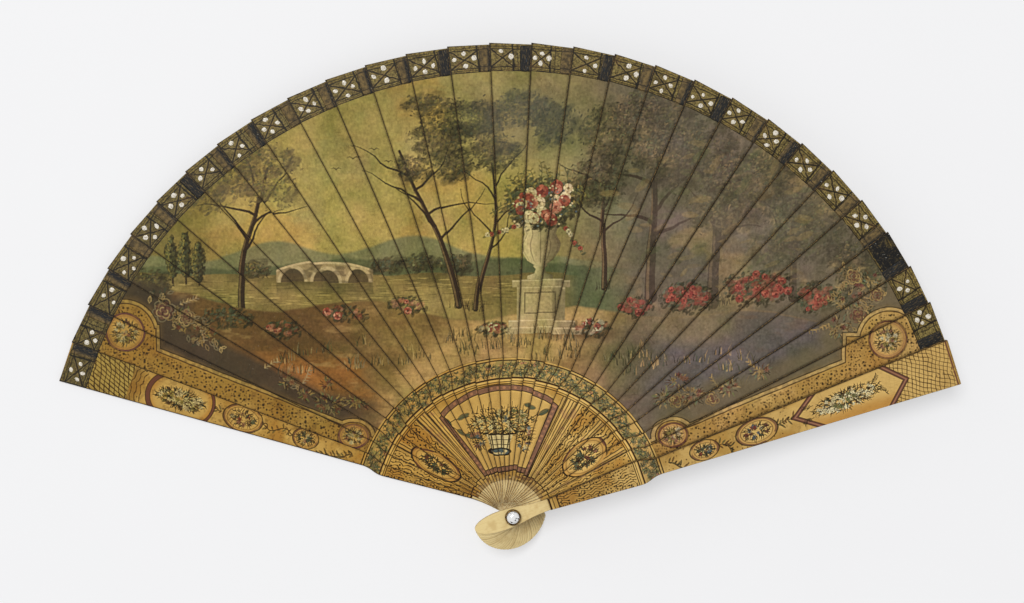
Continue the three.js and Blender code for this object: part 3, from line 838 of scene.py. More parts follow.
def gorge_art(c):
    """The gilded gorge: a flower basket in a fan-shaped panel, ovals beside it and leaves round its rim."""
    gold_ground(c)
    r = np.hypot(c.x, c.y)
    turn = np.degrees(np.arctan2(c.y, c.x)) - 0.45
    deep = np.radians(1) * r
    top = 54.6 - 4.3 * ((turn - 96.75) / 30.75) ** 2
    sides = np.minimum(turn - PANEL_RIGHT, PANEL_LEFT - turn) * deep
    panel = np.minimum.reduce([sides, r - 17.2, top - r])
    outside = ramp(-panel, 0, 0.2) * between(r, 17.6, 54.8)

    def sector(first, last):
        return outside * ramp((turn - first) * deep, -0.1, 0.1) * ramp((last - turn) * deep, -0.1, 0.1)

    for first, last in ((PANEL_LEFT, 136), (57, PANEL_RIGHT), (44, 47.5), (148, 152), (28, 32)):
        c.wash(GOLD_PALE, sector(first, last) * 0.5)
        stem_lines(c, turn * 0.68, r, 1.05, 0.3, 0.03, sector(first, last), INK, 0.9)
        c.wash(PURPLE_PALE, sector(first, last) * ramp(c.noise(2.5, 2), 0.55, 0.75) * 0.4)
    for first, last in ((136, 148), (152, 168), (47.5, 57), (32, 44), (10, 28)):
        here = sector(first, last)
        stem_lines(c, turn * 0.68, r, 1.3, 0.32, 0.42, here * ramp(c.noise(4, 2), 0.28, 0.38), INK, 0.95)
        c.wash(INK, here * c.specks(1.6, 0.36, 0.7) * 0.9)
    ovals = ((-31.3, 18.7, 12.0, 5.5, LEAF_COOL + [PURPLE]),
             (30.5, 24.7, 10.7, 6.3, [PURPLE, PURPLE_PALE] + LEAF_COOL))
    for x, y, long, wide, tones in ovals:
        lean = math.atan2(y, x)
        u = (c.x - x) * math.cos(lean) + (c.y - y) * math.sin(lean)
        v = (c.y - y) * math.cos(lean) - (c.x - x) * math.sin(lean)
        away = (np.hypot(u / long, v / wide) - 1) * wide
        c.wash(GOLD_PALE * 0.97, ramp(-away, -0.1, 0.2))
        c.wash(GOLD_DEEP * 1.1, ramp(-away, -0.1, 0.2) * ramp(away, -2.6, 0) * 0.6)
        c.line(INK, away, 0.45, ramp(c.noise(5, 2), 0.25, 0.45))
        c.line(PURPLE, away + 0.2, 0.7, ramp(c.noise(7, 2), 0.5, 0.6) * 0.8)
        c.line(INK_BROWN, away + 1.0, 0.25, 0.5)
        posy(c, x, y, long * 0.6, wide * 0.55, lean, 150, 1.2, tones)
    c.wash(GOLD_PALE, ramp(panel, 0, 0.2) * 0.8)
    basket(c, -4.7, 25.6)
    beads = np.where(sides < 2.4, r, turn * 0.8)
    bead = np.abs(beads / 2.3 - np.floor(beads / 2.3) - 0.5) * 2.3
    c.wash(PURPLE * np.array((1.3, 1.55, 1.9)), ramp(panel, -0.1, 0.1) * ramp(2.4 - panel, 0, 0.2) * 0.9)
    studs = ramp(0.72 - np.hypot(bead, panel - 1.2), 0, 0.3)
    c.wash(PURPLE_PALE * 1.15, studs * ramp(c.noise(2, 2), 0.25, 0.5))
    for at in (0.05, 2.4):
        c.line(INK, panel - at, 0.4, ramp(r, 15.5, 16.5) * ramp(55.5 - r, 0, 1))
    foot = between(r, 13.3, 17.4)
    c.wash(PURPLE, foot * ramp(c.noise(1.1, 2), 0.45, 0.62) * 0.7)

    def round_the_rim(distance, height):
        angle = math.radians(8) + distance / 61.5 * 0.49
        return polar(0, 0, angle, height)

    framed_band(c, r, ((13.7, 0.5), (17.4, 0.5)), round_the_rim, 340)
    c.line(GOLD_PALE * 0.7, r - 65.6, 0.7, 0.3 + 0.5 * ramp(c.noise(2, 2), 0.35, 0.6))
    c.line(INK_BROWN * 0.55, r - 66.2, 0.6)
    right = ramp(c.x, -45, 30)[..., None]
    c.colour *= np.array((1.0, 0.93, 0.68)) + right * np.array((0.2, 0.28, 0.48))
    c.crisp(0.5, 0.6)


def basket(c, x, y):
    """A wicker basket full of flowers, with leaves trailing to both sides."""
    stems = (((-27.4, 37.6), (-21, 33), (-13, 31.5)), ((-26, 37), (-22, 39.5), (-18, 40.5)),
             ((13, 43), (8, 40), (4, 38.5)))
    for stem in stems:
        c.stroke(stem, 0.4, 0.3, INK, 0.9)
    big_leaves = ((-26.4, 37.2, -0.9), (-20, 40.4, 0.6), (-20.4, 33, -0.5), (-16.4, 32, -0.3),
                  (8, 45, -0.2), (13, 43, 0.5))
    for px, py, lean in big_leaves:
        c.dab(px, py, 5.6, 2.6, lean, INK, 0.9)
        c.dab(px, py, 5.0, 2.0, lean, c.pick(LEAF_COOL) * 0.9, 0.95)
    dull = [tone * np.array((0.72, 0.72, 0.6)) for tone in CREAM]
    posy(c, x + 1, y + 12.5, 13.5, 6.6, 0.05, 400, 1.05, dull + [LEAF_LIGHT[2]])
    posy(c, x + 1, y + 11, 8, 4.4, 0, 130, 1.1, CREAM[1:] + dull + [MIST[0] * 0.8])
    for px, py in ((-13.2, 29), (-14.5, 33), (5.0, 29.5), (6.5, 34)):
        posy(c, px, py, 2.2, 3.4, 0, 46, 1.0, MIST + [PURPLE_PALE, CREAM[1]])
    for k in range(11):
        px = x - 12 + 2.4 * k
        c.stroke([(px, y + 16), (px + 0.4, y + 18.5 + (k * 5 % 4))], 0.45, 0.25, INK, 0.8)
    u, v = c.x - x, c.y - y
    half = 3.4 + 0.3 * v
    body = ramp(half - np.abs(u), 0, 0.2) * between(v, 0, 7.4)
    c.wash(CREAM[1] * 0.9, body)
    slats = np.abs(np.sin(u / half * 5.0))
    rounds = np.abs(np.sin(v * 1.5 + 1.6 * np.sign(np.sin(u / half * 5.0))))
    c.wash(INK, body * np.maximum(ramp(0.45 - slats, 0, 0.25), ramp(0.4 - rounds, 0, 0.25)) * 0.85)
    foot = (np.hypot(u / 4.1, v / 1.5) - 1) * 1.5
    c.wash(MIST[0] * 0.7, ramp(-foot, -0.1, 0.2))
    c.wash(CREAM[1] * 0.8, ramp(-foot, 0.3, 0.5) * ramp(c.noise(1.4, 2), 0.55, 0.65))
    c.line(INK, foot, 0.6)
    rim = v - 7.6 - 0.1 * np.sin(u * 3)
    c.line(INK, rim, 0.7, ramp(7.2 - np.abs(u), 0, 0.4))


GUARD_LEAF = [INK, LEAF_DARK[1], INK_BROWN, LEAF_MID[0], LEAF_DARK[0]]


def guard_leaves(c, low, high, dotted=0.0, middle=0.0):
    """A leafy spray along the stick: a bent stem with thin leaves to both sides, and dots about it."""
    path = c.wander(middle, low, UP, high - low, 0.9, max(int((high - low) / 1.2), 2))
    c.stroke(path, 0.4, 0.3, INK_BROWN * 0.7, 0.9)
    for px, py in path:
        for side in (-1, 1):
            lean = UP + side * (0.25 + 0.9 * c.share())
            long = 1.4 + 2.2 * c.share()
            c.dab(*polar(px, py, lean, long / 2), long, 0.95, lean, c.pick(GUARD_LEAF))
    c.wash(INK_BROWN, dotted * c.specks(2.0, 0.3, 0.45) * 0.8)


def guard_oval(c, at, long, wide, tones, middle=0.0):
    away = (np.hypot((c.x - middle) / wide, (c.y - at) / long) - 1) * wide + 0.3 * c.drift(3, 2)
    c.wash(GOLD_PALE, ramp(-away, -0.1, 0.2))
    c.wash(GOLD_DEEP, ramp(-away, -0.1, 0.2) * ramp(away, -2.4, 0) * 0.5)
    c.line(PURPLE, away + 0.1, 0.55, ramp(c.noise(5, 2), 0.3, 0.5) * 0.8)
    c.line(INK, away - 0.3, 0.4, 0.9)
    c.line(INK_BROWN, away + 0.95, 0.22, 0.8)
    posy(c, middle, at, wide * 0.58, long * 0.66, 0, int(22 * wide), 1.15, tones)


def vine(c, low, high, middle):
    """A winding stem along a guard, with leaves to both sides and a curl at each end."""
    path = []
    for share in np.linspace(0, 1, 24):
        path.append((middle + 1.4 * math.sin(2 * math.pi * share), low + (high - low) * share))
    c.stroke(path, 0.5, 0.4, INK_BROWN * 0.7, 0.9)
    for k, (px, py) in enumerate(path[1::2]):
        lean = (0.7 if k % 2 else math.pi - 0.7) + 0.5 * c.sway()
        c.dab(*polar(px, py, lean, 1.1), 2.2, 0.9, lean, GUARD_LEAF[1 + k % 4], 0.9)
    for (px, py), turn in ((path[0], 0.4), (path[-1], 3.6)):
        shares = np.linspace(0, 0.85, 12)
        curl = [polar(px, py, turn + 5.5 * share, 1.7 * (1 - share)) for share in shares]
        c.stroke(curl, 0.5, 0.35, INK_BROWN * 0.7, 0.9)


def guard_lattice(c, low, high, families, ground, thin):
    """A net of two families of freehand lines, each with a slope and a spacing along the stick."""
    inside = between(c.y, low, high, -0.1, 0.1)
    c.wash(ground, inside * 0.8)
    for slope, spacing in families:
        k = (c.y + slope * c.x + 2.4 * c.drift(6, 2)) / spacing
        away = np.abs(k - np.floor(k) - 0.5) * spacing / math.hypot(1, slope)
        width = thin + 0.16 * c.noise(2.5, 2)
        strength = 0.7 + 0.2 * ramp(c.noise(3, 2), 0.3, 0.6)
        c.wash(INK_BROWN * 0.7, inside * ramp(width - away, 0, 0.22) * strength)


def guard_gorge(c):
    """The gilded neck of a guard: swaying stems and dots between frame lines."""
    neck = between(c.y, 20.3, 54.6)
    rims = ramp(np.abs(c.x) - 0.055 * c.y, 0.3, 1.0)
    broken = ramp(c.noise(4, 2), 0.26, 0.36)
    stem_lines(c, c.x, c.y, 1.15, 0.34, 0.45, neck * (1 - 0.8 * rims) * broken, INK, 0.9)
    c.wash(INK, neck * c.specks(1.5, 0.34, 0.7) * 0.85)
    c.wash(INK, neck * rims * c.specks(1.05, 0.36, 0.9) * 0.9)
    lines = ((16.6, 0.8), (18.2, 0.35), (20.1, 0.6))
    framed_band(c, c.y, lines, lambda d, h: ((d * 7.3) % 11 - 5.5, h), 36)
    c.line(INK_BROWN * 0.55, c.y - 66.2, 0.6)


def front_guard_art(c):
    gold_ground(c)
    guard_gorge(c)
    guard_leaves(c, 69.5, 79, ramp(c.y, 67, 68) * ramp(124 - c.y, 0, 1))
    guard_leaves(c, 92, 99.5)
    guard_leaves(c, 118, 125.5)
    dull = [PURPLE, PURPLE_PALE, MIST[0] * 0.9, CREAM[1] * 0.7, ROSE[2]]
    guard_oval(c, 85.5, 6.0, 4.0, dull + LEAF_COOL)
    guard_oval(c, 109, 8.7, 5.3, dull)
    guard_lattice(c, 166, 196.3, ((0.24, 1.85), (-1.64, 3.3)), GOLD_PALE * 0.9, 0.2)
    top = (177.6 - c.y - np.abs(c.x) * 1.03) / 1.44
    foot = (c.y - 124.5 - np.abs(c.x) * 1.4) / 1.72
    panel = np.minimum(top, foot)
    ground = ramp(panel, -0.1, 0.1)
    c.wash(GOLD_PALE, ground * 0.9)
    c.wash(GOLD_DEEP * 1.1, ground * ramp(c.x + 3 * c.drift(9, 2), 0.5, 7) * 0.75)
    c.wash(PURPLE, ground * ramp(1.9 - panel, 0, 0.2))
    c.line(PURPLE_PALE, panel - 0.95, 0.5, 0.9)
    for at in (0, 1.9):
        c.line(INK, panel - at, 0.35, 0.85)
    posy(c, -0.4, 150, 3.9, 15.5, 0.05, 460, 1.1)
    posy(c, -0.4, 148, 2.8, 8, 0, 90, 1.1, [CREAM[1], LEAF_LIGHT[2]])
    for x, y, lean in ((0.5, 163, 1.5), (-2.5, 161, 2.0), (2.5, 134, -1.2), (-2.5, 135, -1.9)):
        spray(c, x, y, lean, 5, 1.0, [INK, LEAF_DARK[0]])
    c.line(PURPLE, c.y - 196.8, 0.8, 0.9)
    c.line(INK_BROWN * 0.6, c.y - 197.6, 0.3)
    c.colour *= (1 + 0.12 * ramp(c.y, 108, 128))[..., None] * np.array((1.0, 1.02, 1.04), np.float32)
    c.crisp(0.5, 0.6)


def back_guard_art(c):
    gold_ground(c)
    guard_gorge(c)
    guard_leaves(c, 71, 86, ramp(c.y, 67, 68) * ramp(132 - c.y, 0, 1), -0.4)
    guard_leaves(c, 129.5, 134.5, middle=-0.6)
    dull = [ROSE[2], PURPLE_PALE, LEAF_COOL[1], CREAM[1] * 0.7, GOLD_PALE]
    vine(c, 98.6, 110.4, -0.4)
    guard_oval(c, 92.1, 5.4, 4.2, dull + LEAF_COOL, -0.3)
    guard_oval(c, 120.0, 8.2, 5.6, dull, -0.6)
    guard_lattice(c, 169.6, 187, ((-0.3, 2.2), (-2.37, 4.0)), GOLD_PALE * np.array((0.98, 1.1, 0.98)), 0.27)
    waves = between(c.y, 163.4, 169.6, 0, 0.3)
    stem_lines(c, c.y + 0.03 * (c.x + 1) ** 2, c.x, 2.1, 0.42, 0.35, waves, INK_BROWN * 0.8)
    c.wash(INK, waves * c.specks(1.7, 0.4, 0.5) * ramp(166 - c.y, 0, 1) * 0.85)
    length = np.maximum(np.abs(c.y - 147.6) - 4.5, 0)
    panel = 10.5 - np.hypot(c.x + 1.2, length)
    ground = ramp(panel, -0.1, 0.1)
    band = 1.2 + 0.8 * ramp(c.y, 146, 149)
    c.wash(GOLD_PALE * 0.94, ground * 0.9)
    c.wash(GOLD_DEEP * 1.1, ground * ramp(4.5 - panel + 2 * c.drift(6, 2), 0, 3) * 0.75)
    c.wash(PURPLE * 1.1, ground * ramp(band - panel, 0, 0.2))
    for at in (0, band):
        c.line(INK, panel - at, 0.35, 0.85)
    hearts = [CREAM[0] * np.array((0.8, 0.78, 0.6)), CREAM[1], LEAF_LIGHT[1]]
    posy(c, -1.2, 147.4, 3.9, 10.4, 0, 430, 1.15, hearts)
    c.wash(INK_BROWN, ramp(0.4 - c.noise(1.6, 2), 0, 0.2) * 0.3)
    c.colour *= np.array((0.98, 0.94, 0.74), np.float32) * (1 - 0.28 * ramp(c.y, 162, 168))[..., None]
    c.crisp(0.5, 0.6)


def bezier(points, count):
    """Points on a cubic curve, without its first one."""
    t = np.linspace(0, 1, count + 1)[1:, None]
    a, b, c, d = (np.array(p, float) for p in points)
    return (1 - t) ** 3 * a + 3 * t * (1 - t) ** 2 * b + 3 * t * t * (1 - t) * c + t**3 * d


def straight(start, end, spacing):
    """Points on a line, without its first one."""
    start, end = np.array(start, float), np.array(end, float)
    count = max(int(round(np.hypot(*(end - start)) / spacing)), 1)
    return start + (end - start) * np.linspace(0, 1, count + 1)[1:, None]


def flank_half_width(along):
    """Half the stick's width between waist and tip."""
    share = (along - WAIST_RADIUS) / (TIP_RADIUS - WAIST_RADIUS)
    return WAIST_HALF_WIDTH + (TIP_HALF_WIDTH - WAIST_HALF_WIDTH) * share


def right_flank(fine):
    """The right-hand edge of a stick from its tail to its tip; fine is the spacing of points in the field."""
    tail, head, neck = (0, -TAIL_RADIUS), (HEAD_HALF_WIDTH, -HEAD_DROP), (NECK_HALF_WIDTH, NECK_RADIUS)
    shoulder, waist = (SHOULDER_HALF_WIDTH, SHOULDER_RADIUS), (WAIST_HALF_WIDTH, WAIST_RADIUS)
    round_tail = [tail, (0.6 * HEAD_HALF_WIDTH, -TAIL_RADIUS), (HEAD_HALF_WIDTH, -11.2), head]
    round_head = [head, (HEAD_HALF_WIDTH, 5.2), (NECK_HALF_WIDTH, 5.2), neck]
    bend = (WAIST_RADIUS + SHOULDER_RADIUS) / 2
    lean = (SHOULDER_HALF_WIDTH - NECK_HALF_WIDTH) / (SHOULDER_RADIUS - NECK_RADIUS)
    reach = SHOULDER_HALF_WIDTH + lean * (bend - SHOULDER_RADIUS)
    swell = [shoulder, (reach, bend), (WAIST_HALF_WIDTH, bend), waist]
    parts = [np.array([tail]), bezier(round_tail, 34), bezier(round_head, 50), straight(neck, shoulder, 0.28)]
    parts.append(bezier(swell, 40))
    here = waist
    for along in (FIELD_START, TIP_BAND_START, TIP_RADIUS):
        there = (flank_half_width(along), along)
        parts.append(straight(here, there, fine))
        here = there
    return np.concatenate(parts)


EDGE = right_flank(0.2)


def half_width(along):
    return np.interp(along, EDGE[:, 1], EDGE[:, 0])


def pulled_in(loop, distance):
    """A closed loop, drawn against the clock, moved inwards."""
    ahead, behind = np.roll(loop, -1, 0) - loop, loop - np.roll(loop, 1, 0)
    ahead /= np.hypot(*ahead.T)[:, None]
    behind /= np.hypot(*behind.T)[:, None]
    n1, n2 = np.stack([-ahead[:, 1], ahead[:, 0]], 1), np.stack([-behind[:, 1], behind[:, 0]], 1)
    return loop + distance * (n1 + n2) / (1 + np.sum(n1 * n2, 1))[:, None]


def rows_of_points(low, high, spacing):
    """Points in staggered rows over a band of the stick, up to its edges."""
    found = []
    for k, y in enumerate(np.arange(low + spacing * 0.5, high - spacing * 0.3, spacing * 0.87)):
        reach = half_width(y) - 0.55 * spacing - EDGE_ROUND
        x = np.arange(-reach + (k % 2) * spacing / 2, reach, spacing)
        found.append(np.stack([x, np.full_like(x, y)], 1))
    return np.concatenate(found)


def covered(points):
    """Whether the next stick of the open fan lies over a point, well inside its edge."""
    a = math.radians(STEP_ANGLE)
    x = points[:, 0] * math.cos(a) - points[:, 1] * math.sin(a)
    y = points[:, 0] * math.sin(a) + points[:, 1] * math.cos(a)
    return (np.abs(x) < half_width(y) - 0.8) & (y < TIP_RADIUS - 0.8)


def in_slot(points, margin):
    """Whether points lie in the ribbon's slot or within a margin of it."""
    across, along = points.T
    between_ends = (along > SLOT_LOW - margin) & (along < SLOT_HIGH + margin)
    return (np.abs(across - SLOT_OFFSET) < SLOT_HALF_WIDTH + margin) & between_ends


# How far apart a stick's points lie where fine paint isn't seen
HEAD_SPACING = 0.7
LAPPED_SPACING = 1.4
TIP_SPACING = 0.8
BACK_SPACING = 2.6


class StickPlan:
    """The outline of a stick and its triangles, seen from the front, for sticks of one kind."""

    def __init__(
        self, field, gorge, slot=False, low=None, lapped=True, slant=0.0, corner=0.0, painted=GORGE_START
    ):
        self.slant, self.painted, self.slotted, self.pivoted = slant, painted, slot, low is None
        flank = right_flank(field)
        if painted != GORGE_START:
            first = np.searchsorted(flank[:, 1], painted)
            flank = np.insert(flank, first, (half_width(painted), painted), 0)
        if corner:
            flank = flank[flank[:, 1] < TIP_RADIUS - corner]
            turn = [flank[-1], (TIP_HALF_WIDTH, TIP_RADIUS), (TIP_HALF_WIDTH, TIP_RADIUS)]
            flank = np.concatenate([flank, bezier(turn + [(TIP_HALF_WIDTH - corner, TIP_RADIUS)], 8)])
        if low is not None:
            flank = flank[flank[:, 1] >= low - 1e-6]
            foot = straight((-flank[0, 0], low), (flank[0, 0], low), 0.4)[:-1]
        else:
            foot = np.zeros((0, 2))
        mirrored = flank[::-1] * (-1, 1)
        past = np.maximum(flank[:, 1:] - TIP_BAND_START, 0)
        flank = flank - past * (0, slant / (TIP_RADIUS - TIP_BAND_START))
        tip = straight(flank[-1], (corner - TIP_HALF_WIDTH, TIP_RADIUS), field)[:-1]
        if low is None:
            mirrored = mirrored[:-1]
        self.outer = np.concatenate([flank, tip, mirrored, foot])
        self.inner = pulled_in(self.outer, EDGE_ROUND)
        self.holes = []
        if low is None:
            turn = np.linspace(0, 2 * math.pi, 33)[:-1]
            self.holes.append(PIVOT_HOLE_RADIUS * np.stack([np.cos(turn), np.sin(turn)], 1))
        if slot:
            left, right = SLOT_OFFSET - SLOT_HALF_WIDTH, SLOT_OFFSET + SLOT_HALF_WIDTH
            corners = [(left, SLOT_LOW), (right, SLOT_LOW), (right, SLOT_HIGH), (left, SLOT_HIGH)]
            sides = [straight(corners[k], corners[(k + 1) % 4], 0.5) for k in range(4)]
            self.holes.append(np.concatenate(sides))
        self.front = self.triangles(self.fill(field, gorge, lapped, low))
        back_start = -15 if low is None else low + 1
        self.back = self.triangles(rows_of_points(back_start, TIP_RADIUS - 1, BACK_SPACING))

    def fill(self, field, gorge, lapped, low):
        """Points inside the outline, dense where the painting shows."""
        bands = [(self.painted, FIELD_START, gorge), (FIELD_START, TIP_BAND_START, field)]
        if low is None:
            bands.append((-TAIL_RADIUS, self.painted, HEAD_SPACING))
        found = []
        for start, end, spacing in bands:
            dense = rows_of_points(start, end, spacing)
            if lapped:
                coarse = rows_of_points(start, end, LAPPED_SPACING)
                dense = np.concatenate([dense[~covered(dense)], coarse[covered(coarse)]])
            found.append(dense)
        found.append(rows_of_points(TIP_BAND_START, TIP_RADIUS, TIP_SPACING if lapped else field))
        return np.concatenate(found)

    def triangles(self, inside):
        """Fills the inner outline: points, triangles, and the points on each closed loop in order."""
        loops = [self.inner] + self.holes
        clear = np.ones(len(inside), bool)
        if self.pivoted:
            clear &= np.hypot(*inside.T) > PIVOT_HOLE_RADIUS + 0.3
        clear &= ~in_slot(inside, 0.25)
        clear &= inside[:, 1] < TIP_RADIUS - 0.3 - self.slant * (0.5 + inside[:, 0] / (2 * TIP_HALF_WIDTH))
        points = [*loops]
        edges = []
        start = 0
        for loop in loops:
            count = len(loop)
            edges += [(start + k, start + (k + 1) % count) for k in range(count)]
            start += count
        for along in (self.painted, FIELD_START, TIP_BAND_START):
            ends = np.nonzero(np.abs(self.outer[:, 1] - along) < 1e-6)[0]
            if len(ends) != 2:
                continue
            right, left = sorted(ends, key=lambda k: -self.outer[k, 0])
            row = straight(self.inner[right], self.inner[left], 0.35)[:-1]
            clear &= np.abs(inside[:, 1] - along) > 0.1
            chain = [right, *range(start, start + len(row)), left]
            edges += list(zip(chain[:-1], chain[1:]))
            points.append(row)
            start += len(row)
        points = np.concatenate(points + [inside[clear]])
        out = delaunay_2d_cdt([Vector(p) for p in points], edges, [], 0, 1e-6)
        placed = np.array([v[:] for v in out[0]])
        home = {}
        for k, origins in enumerate(out[3]):
            for origin in origins:
                home[origin] = k
        faces = np.array(out[2], np.int32)
        middle = placed[faces].mean(1)
        right_side = self.inner[: int(np.argmax(self.inner[:, 0] + self.inner[:, 1])) + 1]
        keep = np.abs(middle[:, 0]) < np.interp(middle[:, 1], right_side[:, 1], right_side[:, 0])
        keep &= middle[:, 1] < self.inner[:, 1].max()
        keep &= middle[:, 1] > self.inner[:, 1].min()
        keep &= np.hypot(*middle.T) > PIVOT_HOLE_RADIUS * 0.998
        if self.slotted:
            keep &= ~in_slot(middle, 0.0)
        rims = []
        start = 0
        for loop in loops:
            rims.append(np.array([home[start + k] for k in range(len(loop))]))
            start += len(loop)
        return placed, faces[keep], rims


FIELD, GORGE, HEAD, TIP_BAND, EDGES, BACK, BACK_TIP = range(7)


def stick_shell(plan, low, high):
    """A closed shell between two heights: points, triangles and the number of each triangle's finish."""
    front, front_faces, front_rims = plan.front
    back, back_faces, back_rims = plan.back
    rows = [np.c_[front, np.full(len(front), high)], np.c_[back, np.full(len(back), low)]]
    start = len(front) + len(back)
    changes = (plan.painted, FIELD_START, TIP_BAND_START)
    zones = np.digitize(front[front_faces].mean(1)[:, 1], changes)
    finish = [np.array([HEAD, GORGE, FIELD, TIP_BAND])[zones]]
    zones = np.digitize(back[back_faces].mean(1)[:, 1], changes)
    finish.append(np.array([HEAD, BACK, BACK, BACK_TIP])[zones])
    faces = [front_faces, back_faces[:, ::-1] + len(front)]

    def skirt(upper, lower):
        """Two triangles for each pair of steps between two rings of equal length."""
        up, down = np.roll(upper, -1), np.roll(lower, -1)
        faces.append(np.stack([lower, down, up], 1))
        faces.append(np.stack([lower, up, upper], 1))
        finish.append(np.full(2 * len(upper), EDGES))

    count = len(plan.outer)
    upper_ring = np.arange(start, start + count)
    lower_ring = upper_ring + count
    rows.append(np.c_[plan.outer, np.full(count, high - EDGE_ROUND)])
    rows.append(np.c_[plan.outer, np.full(count, low + EDGE_ROUND)])
    skirt(front_rims[0], upper_ring)
    skirt(upper_ring, lower_ring)
    skirt(lower_ring, back_rims[0] + len(front))
    for front_rim, back_rim in zip(front_rims[1:], back_rims[1:]):
        skirt(back_rim + len(front), front_rim)
    return np.concatenate(rows), np.concatenate(faces), np.concatenate(finish)


def stick_angle(index):
    return math.radians(OPEN_ANGLE / 2 - index * STEP_ANGLE)


def stick_heights(index):
    """Where the underside and the face of the back guard or of a blade lie."""
    if index == 0:
        return 0.0, PANEL_THICKNESS + PLATE_THICKNESS
    low = FIRST_BLADE_Z + (index - 1) * BLADE_PITCH
    return low, low + BLADE_THICKNESS


def turned_about_pivot(points, angle):
    c, s = math.cos(angle), math.sin(angle)
    x, y = points[:, 0] * c - points[:, 1] * s, points[:, 0] * s + points[:, 1] * c
    return np.c_[x, y, points[:, 2:]]


def linked(name, data):
    """A new object in the scene."""
    made = bpy.data.objects.new(name, data)
    bpy.context.scene.collection.objects.link(made)
    return made


def store(piece, name, vectors):
    """Keeps a vector for each point of a mesh, for its finish."""
    kept = piece.data.attributes.new(name, "FLOAT_VECTOR", "POINT")
    kept.data.foreach_set("vector", vectors.astype(np.float32).ravel())


def mesh_piece(name, points, faces, finishes, finish=None, smooth=False):
    """A new object from arrays; points are in millimetres in the fan's frame."""
    mesh = bpy.data.meshes.new(name)
    mesh.vertices.add(len(points))
    mesh.vertices.foreach_set("co", (points * MM).astype(np.float32).ravel())
    faces = np.asarray(faces)
    mesh.loops.add(faces.size)
    mesh.loops.foreach_set("vertex_index", faces.astype(np.int32).ravel())
    mesh.polygons.add(len(faces))
    mesh.polygons.foreach_set("loop_start", np.arange(0, faces.size, faces.shape[1], dtype=np.int32))
    for material in finishes:
        mesh.materials.append(material)
    if finish is not None:
        mesh.polygons.foreach_set("material_index", finish.astype(np.int32))
    mesh.polygons.foreach_set("use_smooth", np.full(len(faces), smooth))
    mesh.update(calc_edges=True)
    mesh.validate()
    return linked(name, mesh)


def paint_on(piece, local, colours):
    """Stores the paint's colours, and each point's place: across, along, and in from the free edge."""
    paint = piece.data.attributes.new("paint", "FLOAT_COLOR", "POINT")
    paint.data.foreach_set("color", np.c_[colours, np.ones(len(colours))].astype(np.float32).ravel())
    outwards = np.where(local[:, 1] > 0, 1, -1)
    from_edge = half_width(local[:, 1]) + outwards * local[:, 0]
    store(piece, "place", np.c_[local[:, :2], from_edge])


class Amount:
    """A number that a finish works out at each point; sums on it add Math nodes."""

    def __init__(self, finish, socket):
        self.finish, self.socket = finish, socket

    def __add__(self, other):
        return self.finish.maths("ADD", self, other)

    __radd__ = __add__

    def __sub__(self, other):
        return self.finish.maths("SUBTRACT", self, other)

    def __rsub__(self, other):
        return self.finish.maths("SUBTRACT", other, self)

    def __mul__(self, other):
        return self.finish.maths("MULTIPLY", self, other)

    __rmul__ = __mul__

    def __truediv__(self, other):
        return self.finish.maths("DIVIDE", self, other)

    def __abs__(self):
        return self.finish.maths("ABSOLUTE", self)


class Nodes:
    """A node tree, filled one node at a time."""

    def __init__(self, tree):
        self.tree = tree

    def node(self, kind, settings, sockets):
        """Adds a node: its settings first, then a value or a link for each named socket."""
        node = self.tree.nodes.new(kind)
        for name, value in settings.items():
            setattr(node, name, value)
        for name, value in sockets.items():
            self.feed(node.inputs[name], value)
        return node

    def feed(self, socket, value):
        """Gives a socket a value, or a link from an amount, from a socket or from a node's first output."""
        if isinstance(value, Amount):
            value = value.socket
        elif isinstance(value, bpy.types.Node):
            value = value.outputs[0]
        if isinstance(value, bpy.types.NodeSocket):
            self.tree.links.new(value, socket)
        elif socket.type == "RGBA":
            socket.default_value = (*[float(x) for x in value][:3], 1.0)
        else:
            socket.default_value = value


